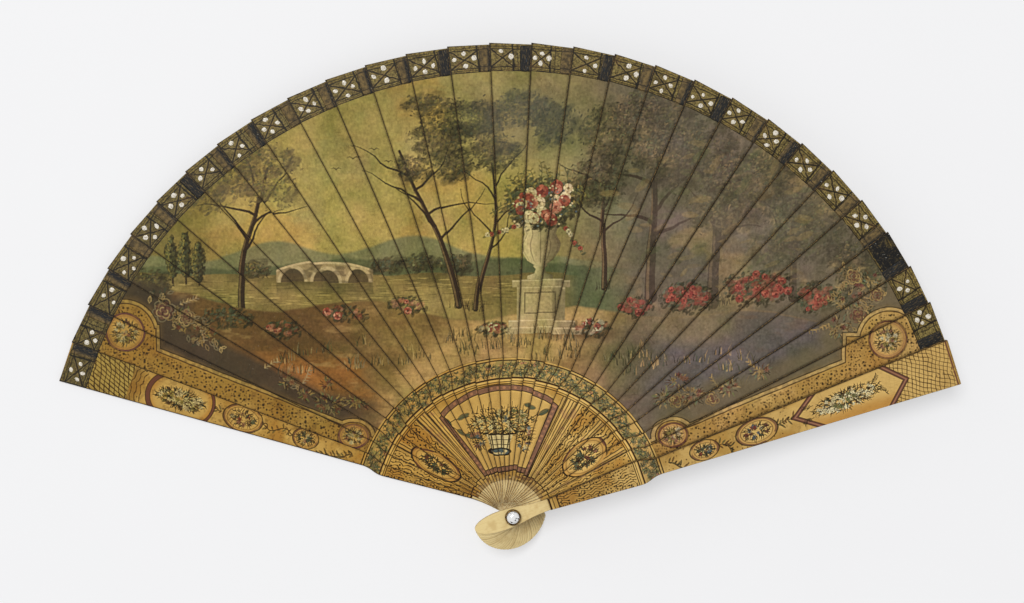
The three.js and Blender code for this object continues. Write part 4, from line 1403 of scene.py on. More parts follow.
class Finish(Nodes):
    """One material, built from nodes; colour is what its layers have come to so far."""

    def __init__(self, name, **fixed):
        self.material = bpy.data.materials.new(name)
        self.material.use_nodes = True
        super().__init__(self.material.node_tree)
        self.tree.nodes.clear()
        self.surface = self.node("ShaderNodeBsdfPrincipled", {}, {})
        self.node("ShaderNodeOutputMaterial", {}, {"Surface": self.surface})
        self.colour = None
        self.set(**fixed)

    def maths(self, operation, *values):
        node = self.node("ShaderNodeMath", {"operation": operation}, dict(enumerate(values)))
        return Amount(self, node.outputs[0])

    def smooth(self, value, low, high):
        """0 at low, 1 at high, with a soft step between."""
        sockets = {"Value": value, "From Min": low, "From Max": high}
        node = self.node("ShaderNodeMapRange", {"interpolation_type": "SMOOTHSTEP"}, sockets)
        return Amount(self, node.outputs["Result"])

    def line(self, distance, width, soft=0.12):
        return self.smooth(abs(distance), width / 2 + soft, width / 2 - soft)

    def mix(self, first, second, share, blend="MIX"):
        settings = {"data_type": "RGBA", "blend_type": blend, "clamp_factor": True}
        node = self.node("ShaderNodeMix", settings, {0: share, 6: first, 7: second})
        return node.outputs[2]

    def over(self, colour, share, blend="MIX"):
        """Lays a colour over those so far."""
        self.colour = self.mix(self.colour, colour, share, blend)

    def attribute(self, name):
        return self.node("ShaderNodeAttribute", {"attribute_name": name}, {})

    def parts(self, vector):
        """The three numbers of a vector."""
        node = self.node("ShaderNodeSeparateXYZ", {}, {0: vector})
        return [Amount(self, out) for out in node.outputs]

    def stored(self, name):
        """The three numbers that the mesh keeps under a name."""
        return self.parts(self.attribute(name).outputs["Vector"])

    def vector(self, x, y, z):
        return self.node("ShaderNodeCombineXYZ", {}, {0: x, 1: y, 2: z}).outputs[0]

    def in_millimetres(self):
        place = self.node("ShaderNodeTexCoord", {}, {}).outputs["Object"]
        scaled = self.node("ShaderNodeVectorMath", {"operation": "SCALE"}, {0: place, "Scale": 1000.0})
        return scaled.outputs[0]

    def noise(self, vector, scale, detail=3.0, rough=0.55):
        sockets = {"Vector": vector, "Scale": scale, "Detail": detail, "Roughness": rough}
        return Amount(self, self.node("ShaderNodeTexNoise", {}, sockets).outputs[0])

    def cracks(self, vector, size, width):
        """The fine net of cracks in old varnish: 1 on a crack."""
        sockets = {"Vector": vector, "Scale": 1 / size}
        net = self.node("ShaderNodeTexVoronoi", {"feature": "DISTANCE_TO_EDGE"}, sockets)
        return self.smooth(Amount(self, net.outputs["Distance"]), width / size, 0.0)

    def bump(self, height, distance, strength=1.0):
        sockets = {"Height": height, "Distance": distance, "Strength": strength}
        self.feed(self.surface.inputs["Normal"], self.node("ShaderNodeBump", {}, sockets))

    def set(self, **sockets):
        for name, value in sockets.items():
            self.feed(self.surface.inputs[name.replace("_", " ")], value)


# The dark brown of the line along each stick's free edge: partly soiling, partly painted shade of the gap
# between sticks
EDGE_SHADE_AND_DIRT = linear(24, 18, 11)
BONE = linear(226, 208, 160)
BONE_SHADE = linear(178, 146, 92)
VARNISH_BROWN = linear(150, 128, 96)


def varnished_paint(name, roughness, crack_size, gloss):
    """Paint in thin touches on bone, under a yellowed varnish with fine cracks; along the free edge it
    darkens into a dark line, partly soiling and partly painted shade of the gap between sticks.
    """
    f = Finish(name, Coat_Weight=gloss, Coat_Roughness=0.22, Specular_IOR_Level=0.1)
    across, along, from_edge = f.stored("place")
    where = f.in_millimetres()
    grain = f.noise(f.vector(across, along * 0.16, 0.0), 2.6, 4.0)
    cloud = f.noise(where, 0.09, 3.0)
    speck = f.noise(where, 1.1, 4.0, 0.65)
    f.colour = f.attribute("paint").outputs["Color"]
    f.over(VARNISH_BROWN, f.smooth(cloud, 0.42, 0.72) * 0.2, "MULTIPLY")
    f.over((0.72, 0.68, 0.6), f.smooth(grain, 0.48, 0.7) * 0.42, "MULTIPLY")
    f.over((1.0, 0.92, 0.72), f.smooth(speck, 0.62, 0.8) * 0.1, "SCREEN")
    crack = f.cracks(where, crack_size, 0.06) * f.smooth(cloud, 0.38, 0.6)
    f.over((0.35, 0.27, 0.18), crack * 0.42, "MULTIPLY")
    # Towards the free edge: a soft darkening, then a dark line, both partly soiling and partly painted shade
    # of the gap between sticks
    ragged = from_edge + (grain - 0.5) * 0.25
    f.over((0.42, 0.34, 0.24), f.smooth(ragged, 1.0, 0.25) * 0.45, "MULTIPLY")
    f.over(EDGE_SHADE_AND_DIRT, f.smooth(ragged, 0.42, 0.24) * 0.95)
    f.set(Base_Color=f.colour, Roughness=roughness + (speck - 0.5) * 0.22 + crack * 0.15)
    f.bump(grain * 0.5 + speck * 0.35 - crack * 0.5, 0.00006, 0.5)
    return f.material


def tip_band(name):
    """Crossed bars in dark cells between gilded strips, drawn in each stick's own place."""
    f = Finish(name, Coat_Weight=0.05, Coat_Roughness=0.25, Specular_IOR_Level=0.2)
    across, along, from_edge = f.stored("place")
    where = f.in_millimetres()
    which, cell, blacked = f.stored("stick")
    shake = f.noise(where, 0.5, 2.0) - 0.5
    grain = f.noise(f.vector(across * 0.75, along, which * 9.0), 1.9, 4.0, 0.65)
    hatch = f.noise(f.vector(across, along * 0.3, which * 5.0), 2.6, 3.0, 0.6)
    speck = f.noise(where, 1.3, 4.0, 0.7)
    height = along - TIP_BAND_START + shake * 1.1
    reach = from_edge + shake * 1.2
    rise = height - 5.5
    side = (reach - 0.4 - cell * 0.5) * 7.4 / cell
    crossed = f.maths("MINIMUM", abs(rise - side), abs(rise + side))
    in_cell = f.smooth(reach, 0.45, 0.6) * f.smooth(reach - cell, 0.05, -0.1)
    in_cell = in_cell * f.smooth(height, 1.75, 1.95) * f.smooth(height, 9.3, 9.1)
    mottle = grain * 0.5 + speck * 0.5
    ground = f.mix(linear(80, 69, 37), linear(150, 131, 72), f.smooth(mottle, 0.4, 0.62))
    strip = f.mix(linear(88, 75, 38), linear(160, 138, 72), f.smooth(mottle, 0.38, 0.64))
    gilded = 1 - f.smooth(height, 1.55, 1.85) * f.smooth(height, 9.5, 9.2)
    f.colour = f.mix(ground, strip, gilded * f.smooth(speck, 0.3, 0.5))
    f.over(linear(150, 126, 78), f.line(crossed - 0.6, 0.3) * in_cell * hatch)
    dark = linear(28, 21, 11)
    f.over(dark, f.smooth(crossed, 0.52, 0.24) * in_cell * 0.92)
    for at, width in ((0.15, 0.55), (0.95, 0.24), (1.8, 0.52), (9.25, 0.52), (10.3, 0.26), (11.5, 0.42)):
        f.over(dark, f.line(height - at, width) * (0.55 + grain * 0.6))
    f.over(dark, f.line(reach - cell, 0.75) * 0.95)
    f.over(dark, f.line(reach - cell - 1.9, 0.35) * 0.8)
    # A dark line along the free edge: partly soiling, partly painted shade of the gap between sticks
    f.over(EDGE_SHADE_AND_DIRT, f.smooth(from_edge, 0.8, 0.4) * 0.95)
    patch = f.noise(where, 0.2, 3.0)
    f.over(linear(138, 98, 48), f.smooth(patch, 0.56, 0.7) * 0.2)
    smear = f.noise(where, 0.75, 4.0, 0.7)
    f.over((0.36, 0.31, 0.23), f.smooth(smear, 0.5, 0.6) * 0.75, "MULTIPLY")
    f.over(dark, f.smooth(speck, 0.6, 0.68) * 0.75)
    foot = f.smooth(height + (patch - 0.5) * 5.0, 1.3, 0.2)
    dirty = f.maths("MAXIMUM", f.smooth(patch, 0.44, 0.3), foot)
    f.over((0.4, 0.35, 0.27), dirty * 0.6, "MULTIPLY")
    black = f.mix(linear(19, 18, 17), linear(92, 78, 50), f.smooth(speck, 0.53, 0.7))
    fleck = f.noise(where, 1.5, 2.0) * f.smooth(patch, 0.46, 0.56)
    black = f.mix(black, linear(168, 166, 156), f.smooth(fleck, 0.66, 0.72))
    blackness = f.smooth(blacked + (patch - 0.5) * 2.4, 0.3, 0.95) * f.smooth(height, 0.5, 1.2)
    f.over(black, blackness)
    left = f.smooth(f.parts(where)[0], -105.0, -160.0)
    f.over((0.66, 0.66, 0.62), left * 0.8, "MULTIPLY")
    f.set(Base_Color=f.colour, Roughness=0.42 + (speck - 0.5) * 0.3)
    f.bump(grain * 0.6 + speck * 0.5, 0.00008, 0.6)
    return f.material


def bare_bone(name, pale, shade, uneven):
    """Polished bone with grain along the stick; sticks differ in tone and darken along their free edge, from
    soiling on every stick and, above the pivot, painted shade of the gaps between sticks.
    """
    f = Finish(name, Coat_Weight=0.08, Coat_Roughness=0.3, Specular_IOR_Level=0.3)
    across, along, from_edge = f.stored("place")
    which = f.stored("stick")[0]
    grain = f.noise(f.vector(across, along * 0.05, which * 7.0), 3.2, 4.0, 0.6)
    cloud = f.noise(f.in_millimetres(), 0.22, 3.0)
    above = f.smooth(along, -4.0, 3.0)
    f.colour = f.mix(pale, shade, f.smooth(grain, 0.45, 0.75) * 0.4)
    f.over(shade, f.smooth(cloud, 0.46, 0.7) * 0.6)
    f.over(BONE_SHADE, f.smooth(which, 0.5, 0.75) * above * uneven * 0.5)
    f.over(BONE_SHADE, f.smooth(along, 7.0, 15.0) * 0.1)
    # Along the free edge: soiling that differs from stick to stick, and above the pivot painted shade of the
    # gaps between sticks
    ragged = from_edge + (grain - 0.5) * 0.3
    soiled = 0.03 + which * which * which * 0.5
    edge_stain_and_shade = f.smooth(ragged, 0.9, 0.2) * (soiled + above * uneven * 0.5)
    f.over((0.58, 0.45, 0.25), edge_stain_and_shade, "MULTIPLY")
    edge_soil_and_shade = f.smooth(ragged, 0.42, 0.22) * (soiled * 0.7 + above * uneven * (0.5 + which * 1.5))
    f.over(linear(92, 68, 38), edge_soil_and_shade)
    f.set(Base_Color=f.colour, Roughness=0.36 + (cloud - 0.5) * 0.2)
    f.bump(grain, 0.00003, 0.4)
    return f.material


def stick_edge(name):
    f = Finish(name, Roughness=0.5, Specular_IOR_Level=0.25)
    along = f.stored("place")[1]
    speck = f.noise(f.in_millimetres(), 0.9, 4.0)
    bone = f.mix(BONE, BONE_SHADE, f.smooth(speck, 0.35, 0.65))
    edge_darkening = f.mix(linear(62, 47, 27), linear(150, 118, 66), f.smooth(speck, 0.42, 0.68))
    f.set(Base_Color=f.mix(bone, edge_darkening, f.smooth(along, 12.6, 13.6)))
    f.bump(speck, 0.00005, 0.4)
    return f.material


def stick_back(name):
    """The plainer reverse: varnished gold with a dotted gorge, fine lines and a brown field."""
    f = Finish(name, Coat_Weight=0.08, Coat_Roughness=0.25, Specular_IOR_Level=0.2)
    across, along = f.stored("place")[:2]
    where = f.in_millimetres()
    grain = f.noise(f.vector(across, along * 0.1, 0.0), 2.0, 4.0)
    cloud = f.noise(where, 0.1, 3.0)
    gold = f.mix(GOLD, GOLD_DEEP, f.smooth(cloud, 0.4, 0.65))
    field = f.mix(linear(112, 96, 60), linear(140, 122, 78), f.smooth(cloud, 0.35, 0.68))
    f.colour = f.mix(gold, field, f.smooth(along, FIELD_START + 0.3, FIELD_START + 0.6))
    sockets = {"Vector": where, "Scale": 0.5, "Randomness": 0.7}
    net = f.node("ShaderNodeTexVoronoi", {"feature": "F1"}, sockets)
    dots = f.smooth(Amount(f, net.outputs["Distance"]), 0.24, 0.16) * f.smooth(along, 55.0, 54.6)
    f.over(INK_BROWN, dots * f.smooth(along, 20.0, 20.4) * 0.85)
    for at in (16.6, 20.1, 55.0, 58.4, 64.2, FIELD_START, 184.6):
        f.over(INK_BROWN * 0.5, f.line(along - at, 0.5) * 0.9)
    f.over(GOLD_PALE, f.line(along - 183.2, 1.2) * 0.8)
    f.over((0.7, 0.64, 0.54), f.smooth(grain, 0.5, 0.75) * 0.5, "MULTIPLY")
    f.set(Base_Color=f.colour, Roughness=0.4 + (cloud - 0.5) * 0.2)
    f.bump(grain, 0.00005, 0.5)
    return f.material


def silk_ribbon(name):
    """Black ribbed silk; on some sticks it is faded and stained to the brown of the tips beside it."""
    f = Finish(name, Sheen_Weight=0.08, Sheen_Roughness=0.4, Specular_IOR_Level=0.25)
    u, v, black = f.stored("weave")
    ribs = f.maths("SINE", v * 14.0)
    threads = f.maths("SINE", u * 34.0)
    where = f.in_millimetres()
    fade = f.noise(where, 0.6, 4.0, 0.6)
    streak = f.noise(f.vector(u * 1.5 + fade, v * 0.3, 0.0), 1.2, 3.0, 0.6)
    brown = f.smooth(streak, 0.48, 0.62) * f.smooth(fade, 0.34, 0.54)
    silk = f.mix(linear(17, 17, 17), linear(88, 74, 47), brown * 0.85)
    silk = f.mix(silk, linear(66, 74, 82), f.smooth(streak, 0.42, 0.34) * f.smooth(fade, 0.5, 0.62) * 0.5)
    fleck = f.noise(where, 1.5, 2.0) * f.smooth(fade, 0.44, 0.56)
    silk = f.mix(silk, linear(150, 148, 138), f.smooth(fleck, 0.66, 0.72) * 0.8)
    # Lighter grey on the crests of the ribs and threads: a painted sheen
    silk = f.mix(silk, linear(92, 94, 98), f.smooth(ribs * 0.7 + threads * 0.3, 0.6, 1.0) * 0.2)
    stained = f.mix(linear(66, 54, 31), linear(124, 102, 60), f.smooth(fade, 0.34, 0.68))
    for at in (0.5, 2.3, 9.6, 11.0):
        stained = f.mix(stained, linear(32, 24, 14), f.line(v - RIBBON_LOW - at + (fade - 0.5), 0.4) * 0.8)
    share = f.smooth(black + (fade - 0.5) * 2.6 + (streak - 0.5) * 2.4, -0.6, 0.4)
    f.set(Base_Color=f.mix(stained, silk, share), Roughness=0.55 + (fade - 0.5) * 0.3)
    f.bump(ribs * 0.6 + threads * 0.4, 0.00002, 0.6)
    return f.material


def old_brass(name):
    """Brass gone brown, brighter where it has been rubbed."""
    f = Finish(name, Metallic=1.0)
    where = f.in_millimetres()
    patch = f.noise(where, 0.9, 4.0)
    fine = f.noise(where, 5.0, 3.0)
    f.colour = f.mix(linear(92, 72, 44), linear(170, 138, 84), f.smooth(patch, 0.42, 0.68))
    f.set(Base_Color=f.colour, Roughness=0.34 + (fine - 0.5) * 0.25)
    f.bump(fine, 0.00003, 0.5)
    return f.material


def clear_paste(name):
    """Lead glass over foil: most facets show bright, a few dark. The milky white is a painted stand-in for
    light off the foil, and the dark facets are painted reflections.
    """
    f = Finish(name, Transmission_Weight=0.2, IOR=1.62, Roughness=0.02)
    facet = Amount(f, f.attribute("facet").outputs["Fac"])
    f.set(Base_Color=f.mix((0.99, 0.99, 0.98), (0.07, 0.07, 0.07), f.smooth(facet, 0.76, 0.9)))
    return f.material


def silver_foil(name):
    """The bright foil behind the stone."""
    f = Finish(name, Metallic=0.35)
    crinkle = f.noise(f.in_millimetres(), 2.2, 4.0)
    f.set(Base_Color=f.mix((0.98, 0.98, 0.97), (0.88, 0.87, 0.85), crinkle), Roughness=0.2 + crinkle * 0.25)
    f.bump(crinkle, 0.0001, 0.5)
    return f.material


def white_enamel(name):
    f = Finish(name, Coat_Weight=0.3, Coat_Roughness=0.15)
    speck = f.noise(f.in_millimetres(), 1.6, 4.0)
    f.colour = f.mix(linear(226, 219, 204), linear(166, 154, 132), f.smooth(speck, 0.46, 0.66))
    f.set(Base_Color=f.colour, Roughness=0.38 + (speck - 0.5) * 0.2)
    return f.material


# The painting
field_canvas = Canvas(-196, 196, 14, 196, pitch=0.24, seed=7)
field_art(field_canvas)
gorge_canvas = Canvas(-72, 72, 4, 70, pitch=0.11, seed=11)
gorge_art(gorge_canvas)
front_guard_canvas = Canvas(-11, 11, 14, 199, pitch=0.12, seed=13)
front_guard_art(front_guard_canvas)
back_guard_canvas = Canvas(-11, 11, 14, 199, pitch=0.12, seed=17)
back_guard_art(back_guard_canvas)

# The finishes
FIELD_PAINT = varnished_paint("painted_field", 0.4, 2.4, 0.06)
GORGE_PAINT = varnished_paint("gilded_gorge", 0.36, 3.2, 0.06)
GUARD_PAINT = varnished_paint("gilded_guard", 0.34, 3.6, 0.08)
TIP_PAINT = tip_band("tip_band")
BLADE_BONE = bare_bone("blade_bone", linear(230, 209, 152), linear(204, 177, 120), 0.8)
GUARD_BONE = bare_bone("guard_bone", linear(230, 206, 146), linear(200, 168, 108), 0.05)
EDGE_FINISH = stick_edge("stick_edge")
BACK_FINISH = stick_back("stick_back")
SILK = silk_ribbon("ribbon_silk")
BRASS = old_brass("rivet_brass")
PASTE = clear_paste("paste_glass")
FOIL = silver_foil("stone_foil")
ENAMEL = white_enamel("dot_enamel")

BLADE_FINISHES = [FIELD_PAINT, GORGE_PAINT, BLADE_BONE, TIP_PAINT, EDGE_FINISH, BACK_FINISH, TIP_PAINT]
BACK_GUARD_FINISHES = [GUARD_PAINT, GUARD_PAINT, BLADE_BONE, TIP_PAINT, EDGE_FINISH, GUARD_PAINT, GUARD_PAINT]
FRONT_GUARD_FINISHES = [
    GUARD_PAINT, GUARD_PAINT, GUARD_BONE, GUARD_PAINT, EDGE_FINISH, BACK_FINISH, TIP_PAINT,
]

chance = np.random.default_rng(29)

# Along the tips, stick by stick from the back guard: the crossed cell's width, and how much black silk shows
TIP_CELLS = (12, 8.4, 12.1, 12, 10.2, 11.6, 10.7, 9.4, 10, 11, 12.1, 12.1, 12, 12.1, 9.7, 8.2, 12.1, 12)
TIP_CELLS += (11, 12, 9.7, 9.8, 11.5, 12.1, 12.1, 11, 10, 8.2)
BLACK_SILK = (2.9, 2.5, 2.3, 0.2, 0.8, 5, 1.5, 2.6, 0, 0.8, 1.2, 1.5, 4, 0.8, 5, 0, 4, 0.6, 1.7, 4.6)
BLACK_SILK += (0.7, 2.9, 1, 0.4, 1, 5, 5, 4.4)
BLACKED_TIP = 25


def tip_cell(index):
    return TIP_CELLS[index] if index < LAST_STICK else 12.0


def add_stick(name, index, shells, finishes):
    """Joins shells into one stick, turned to its place in the open fan, with its paint."""
    points, faces, finish, local, colours = zip(*shells)
    starts = np.cumsum([0] + [len(part) for part in points])
    faces = np.concatenate([part + start for part, start in zip(faces, starts)])
    placed = turned_about_pivot(np.concatenate(points), stick_angle(index))
    piece = mesh_piece(name, placed, faces, finishes, np.concatenate(finish))
    paint_on(piece, np.concatenate(local), np.concatenate(colours))
    marks = (chance.random(), tip_cell(index), float(index == BLACKED_TIP))
    store(piece, "stick", np.tile(marks, len(placed)))
    body = name.replace("_stick", "")
    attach(piece, body)
    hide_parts(body)
    return piece


def shown_to(along):
    """How far across a stick shows before its right-hand neighbour's edge covers it."""
    step = math.radians(STEP_ANGLE)
    return along * math.tan(step) - half_width(along) / math.cos(step)


def blade_colours(points, index):
    """Paint for a blade from the whole fan's picture, a little out of step with its neighbours, darkened by
    painted shade and soiling where the next blade's edge lies over it and along its own free edge.
    """
    flat = turned_about_pivot(points, stick_angle(index))
    shift = chance.normal(0, 0.3, 2)
    tone = 1 + 0.1 * (chance.random() - 0.5)
    shade_and_grime = 0.14 + 0.16 * index / LAST_STICK + 0.16 * chance.random()
    field = field_canvas.at(flat[:, 0] + shift[0], flat[:, 1] + shift[1]) * tone
    gorge = gorge_canvas.at(flat[:, 0] + shift[0], flat[:, 1] + shift[1]) * tone
    bare = ramp(BLADE_PAINT_START + 2.4 * chance.random() - points[:, 1], -0.25, 0.25)[:, None]
    gorge = gorge + bare * (BONE_SHADE * (0.9 + 0.5 * chance.random()) - gorge)
    painted = np.where((points[:, 1] < FIELD_START)[:, None], gorge, field)
    # Painted shade with some soiling: darker near the next blade's edge, which lies over this one, and along
    # the free edge; stronger on some blades and towards the front guard
    hidden_in = points[:, 0] - shown_to(points[:, 1])
    from_edge = half_width(points[:, 1]) + points[:, 0]
    above = ramp(points[:, 1], FIELD_START, FIELD_START + 20)
    covered = ramp(hidden_in, -0.35 - 1.5 * shade_and_grime, -0.15) * (0.5 + 0.5 * above)
    edge_darkening = shade_and_grime * covered + 1.6 * shade_and_grime * above * ramp(0.9 - from_edge, 0, 0.4)
    return painted * (1 - np.clip(edge_darkening, 0, 0.8))[:, None]


blade_plan = StickPlan(field=0.33, gorge=0.21, slot=True, slant=TIP_SLANT, painted=BLADE_PAINT_START)
blade_shell = stick_shell(blade_plan, 0.0, BLADE_THICKNESS)
for index in range(1, LAST_STICK):
    shell_points, shell_faces, shell_finish = blade_shell
    placed = shell_points + (0, 0, stick_heights(index)[0])
    colours = blade_colours(shell_points, index)
    shell = (placed, shell_faces, shell_finish, shell_points, colours)
    add_stick(f"blade_{index:02d}_stick", index, [shell], BLADE_FINISHES)

panel_plan = StickPlan(field=0.26, gorge=0.22, low=GORGE_START, lapped=False, corner=GUARD_CORNER)
panel_shell = stick_shell(panel_plan, 0.0, PANEL_THICKNESS + PANEL_SINK)


def guard_shell(plan_shell, canvas, z, turned_over=False):
    points, faces, finish = plan_shell
    colours = canvas.at(points[:, 0], points[:, 1])
    placed = points * (-1, 1, -1) if turned_over else points
    return placed + (0, 0, z), faces, finish, points, colours


plate_plan = StickPlan(field=1.0, gorge=1.0, lapped=False, corner=GUARD_CORNER)
plate = stick_shell(plate_plan, 0.0, PLATE_THICKNESS)
front_top = FRONT_GUARD_Z + PLATE_THICKNESS
front_shells = [
    guard_shell(plate, front_guard_canvas, FRONT_GUARD_Z),
    guard_shell(panel_shell, front_guard_canvas, front_top - PANEL_SINK),
]
add_stick("front_guard_stick", LAST_STICK, front_shells, FRONT_GUARD_FINISHES)

inner_face = stick_shell(StickPlan(field=0.3, gorge=0.21, slant=TIP_SLANT), 0.0, PLATE_THICKNESS)
back_shells = [
    guard_shell(inner_face, back_guard_canvas, PANEL_THICKNESS),
    guard_shell(panel_shell, front_guard_canvas, PANEL_THICKNESS + PANEL_SINK, True),
]
add_stick("back_guard_stick", 0, back_shells, BACK_GUARD_FINISHES)


def ribbon_path(low, high, through):
    """The ribbon's middle line as (across, height), from its end on a stick's face back to its other end."""
    top = high + RIBBON_CLEARANCE + RIBBON_THICKNESS / 2
    ends = [(RIBBON_RIGHT - 0.03, top), (SLOT_OFFSET + 0.06, top)]
    if not through:
        return straight(ends[0], (SLOT_OFFSET + 0.02, top), 0.4)
    bottom = low - RIBBON_CLEARANCE - RIBBON_THICKNESS / 2
    path = [np.array([ends[0]]), straight(*ends, 0.5)]
    path.append(np.array([(SLOT_OFFSET + 0.015, top - 0.02), (SLOT_OFFSET, top - 0.07)]))
    path.append(straight((SLOT_OFFSET, top - 0.07), (SLOT_OFFSET, bottom + 0.07), 0.15))
    path.append(np.array([(SLOT_OFFSET - 0.015, bottom + 0.02), (SLOT_OFFSET - 0.06, bottom)]))
    path.append(straight((SLOT_OFFSET - 0.06, bottom), (RIBBON_BACK_END + 0.03, bottom), 0.5))
    return np.concatenate(path)


def add_ribbon(number, index, low, high, through):
    """One stretch of ribbon: a thin woven strip with a faint ripple and a slight sway."""
    path = ribbon_path(low, high, through)
    ahead = np.gradient(path, axis=0)
    ahead /= np.hypot(*ahead.T)[:, None]
    normal = np.stack([-ahead[:, 1], ahead[:, 0]], 1)
    run = np.concatenate([[0], np.cumsum(np.hypot(*np.diff(path, axis=0).T))])
    rows = np.linspace(RIBBON_LOW, RIBBON_HIGH, RIBBON_ROWS)
    middle = (RIBBON_LOW + RIBBON_HIGH) / 2
    phase = chance.random(3) * 6
    ripple = np.sin(run[:, None] * 1.9 + phase[0]) * np.sin(rows[None] * 1.1 + phase[1])
    edge = np.abs(np.linspace(-1, 1, RIBBON_ROWS)) ** 14
    thick = RIBBON_THICKNESS / 2 * (1 - 0.45 * edge)
    sides = []
    for side in (1, -1):
        lift = side * thick[None] + RIBBON_RIPPLE * ripple
        x = path[:, :1] + normal[:, :1] * lift
        z = path[:, 1:] + normal[:, 1:] * lift
        near = ramp(0.9 - np.abs(path[:, :1] - SLOT_OFFSET), 0, 0.8)
        sway = RIBBON_SWAY * np.sin(run * 2.7 + phase[2])[:, None] * (1 - near)
        y = middle + (rows[None] - middle) * (1 - 0.035 * near) + sway
        sides.append(np.stack([x, y, z], 2))
    n, m = sides[0].shape[:2]
    points = np.concatenate([s.reshape(-1, 3) for s in sides])
    at = np.arange(n * m).reshape(n, m)
    faces = []
    for k in (0, 1):
        g = at + k * n * m
        quads = np.stack([g[:-1, :-1], g[:-1, 1:], g[1:, 1:], g[1:, :-1]], 2).reshape(-1, 4)
        faces.append(quads if k == 0 else quads[:, ::-1])
    rim = np.concatenate([at[0, :-1], at[:-1, -1], at[-1, :0:-1], at[:0:-1, 0]])
    after = np.roll(rim, -1)
    faces.append(np.stack([rim, rim + n * m, after + n * m, after], 1))
    placed = turned_about_pivot(points, stick_angle(index))
    piece = mesh_piece(f"ribbon_{number:02d}", placed, np.concatenate(faces), [SILK], smooth=True)
    grid = np.stack(np.broadcast_arrays(run[:, None], rows[None]), 2).reshape(-1, 2)
    black = points[:, 0] - shown_to(points[:, 1]) + BLACK_SILK[index]
    store(piece, "weave", np.c_[np.concatenate([grid, grid]), black])
    body = f"blade_{index:02d}" if index else "back_guard"
    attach(piece, body)
    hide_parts(f"ribbon_link_{number:02d}")
    return piece, run[-1]


for index in range(LAST_STICK):
    ribbon, length = add_ribbon(index + 1, index, *stick_heights(index), index > 0)


class Growth(Nodes):
    """A Geometry Nodes tree with named inputs, listed by their kind."""

    def __init__(self, name, **inputs):
        super().__init__(bpy.data.node_groups.new(name, "GeometryNodeTree"))
        add_socket = self.tree.interface.new_socket
        self.ids = {}
        for kind, labels in inputs.items():
            for label in labels:
                item = add_socket(label, in_out="INPUT", socket_type="NodeSocket" + kind)
                self.ids[label] = item.identifier
        add_socket("Geometry", in_out="OUTPUT", socket_type="NodeSocketGeometry")
        self.given = self.node("NodeGroupInput", {}, {}).outputs
        self.result = self.node("NodeGroupOutput", {}, {}).inputs

    def finish(self, geometry, material):
        real = self.node("GeometryNodeRealizeInstances", {}, {"Geometry": geometry})
        coated = self.node("GeometryNodeSetMaterial", {}, {"Geometry": real, "Material": material})
        self.feed(self.result[0], coated)

    def grow(self, name, values):
        """A plain mesh object from the tree with the given inputs."""
        seed_mesh = bpy.data.meshes.new(name + "_start")
        maker = linked(name + "_start", seed_mesh)
        modifier = maker.modifiers.new("growth", "NODES")
        modifier.node_group = self.tree
        for label, value in values.items():
            modifier[self.ids[label]] = value
        evaluated = maker.evaluated_get(bpy.context.evaluated_depsgraph_get())
        mesh = bpy.data.meshes.new_from_object(evaluated)
        maker.modifiers.remove(modifier)
        bpy.data.objects.remove(maker)
        bpy.data.meshes.remove(seed_mesh)
        mesh.name = name
        return linked(name, mesh)


def dot_growth():
    """White dots in the four corners of a crossed cell: placed round its middle, jittered, some lost."""
    numbers = ("Reach", "Lean", "Dot radius", "Dot height", "Jitter", "Lost", "Turn")
    g = Growth("tip_dots", Float=numbers, Int=("Seed",), Vector=("Middle",))
    given = g.given

    def vector(x=0.0, y=0.0, z=0.0):
        return g.node("ShaderNodeCombineXYZ", {}, {0: x, 1: y, 2: z})

    def any_vector(least, most):
        sockets = {0: least, 1: most, "Seed": given["Seed"]}
        return g.node("FunctionNodeRandomValue", {"data_type": "FLOAT_VECTOR"}, sockets)

    ring = g.node("GeometryNodeMeshCircle", {}, {"Vertices": 4, "Radius": given["Reach"]})
    oval = g.node("GeometryNodeTransform", {}, {"Geometry": ring, "Scale": vector(1.0, given["Lean"], 1.0)})
    odds = {"Probability": given["Lost"], "Seed": given["Seed"]}
    lost = g.node("FunctionNodeRandomValue", {"data_type": "BOOLEAN"}, odds).outputs[3]
    kept = g.node("GeometryNodeDeleteGeometry", {"domain": "POINT"}, {"Geometry": oval, "Selection": lost})
    low = g.node("ShaderNodeMath", {"operation": "MULTIPLY"}, {0: given["Jitter"], 1: -1.0})
    shake = any_vector(vector(low, low), vector(given["Jitter"], given["Jitter"]))
    moved = g.node("GeometryNodeSetPosition", {}, {"Geometry": kept, "Offset": shake})
    dome = g.node("GeometryNodeMeshUVSphere", {}, {"Segments": 14, "Rings": 8, "Radius": 1.0})
    lumps = g.node("ShaderNodeTexNoise", {}, {"Scale": 1.4, "Detail": 1.0}).outputs["Color"]
    push = g.node("ShaderNodeVectorMath", {"operation": "SUBTRACT"}, {0: lumps, 1: (0.5, 0.5, 0.5)})
    uneven = g.node("GeometryNodeSetPosition", {}, {"Geometry": dome, "Offset": push})
    size = vector(given["Dot radius"], given["Dot radius"], given["Dot height"])
    spread = any_vector((0.7, 0.7, 1.0), (1.15, 1.15, 1.0))
    sized = g.node("ShaderNodeVectorMath", {"operation": "MULTIPLY"}, {0: size, 1: spread})
    swing = any_vector((0.0, 0.0, 0.0), (0.0, 0.0, 6.28))
    dots = g.node("GeometryNodeInstanceOnPoints", {}, {
        "Points": moved, "Instance": uneven, "Scale": sized, "Rotation": swing,
    })
    placed = g.node("GeometryNodeTransform", {}, {"Geometry": dots, "Translation": given["Middle"]})
    turn = vector(z=given["Turn"])
    g.finish(g.node("GeometryNodeTransform", {}, {"Geometry": placed, "Rotation": turn}), ENAMEL)
    return g


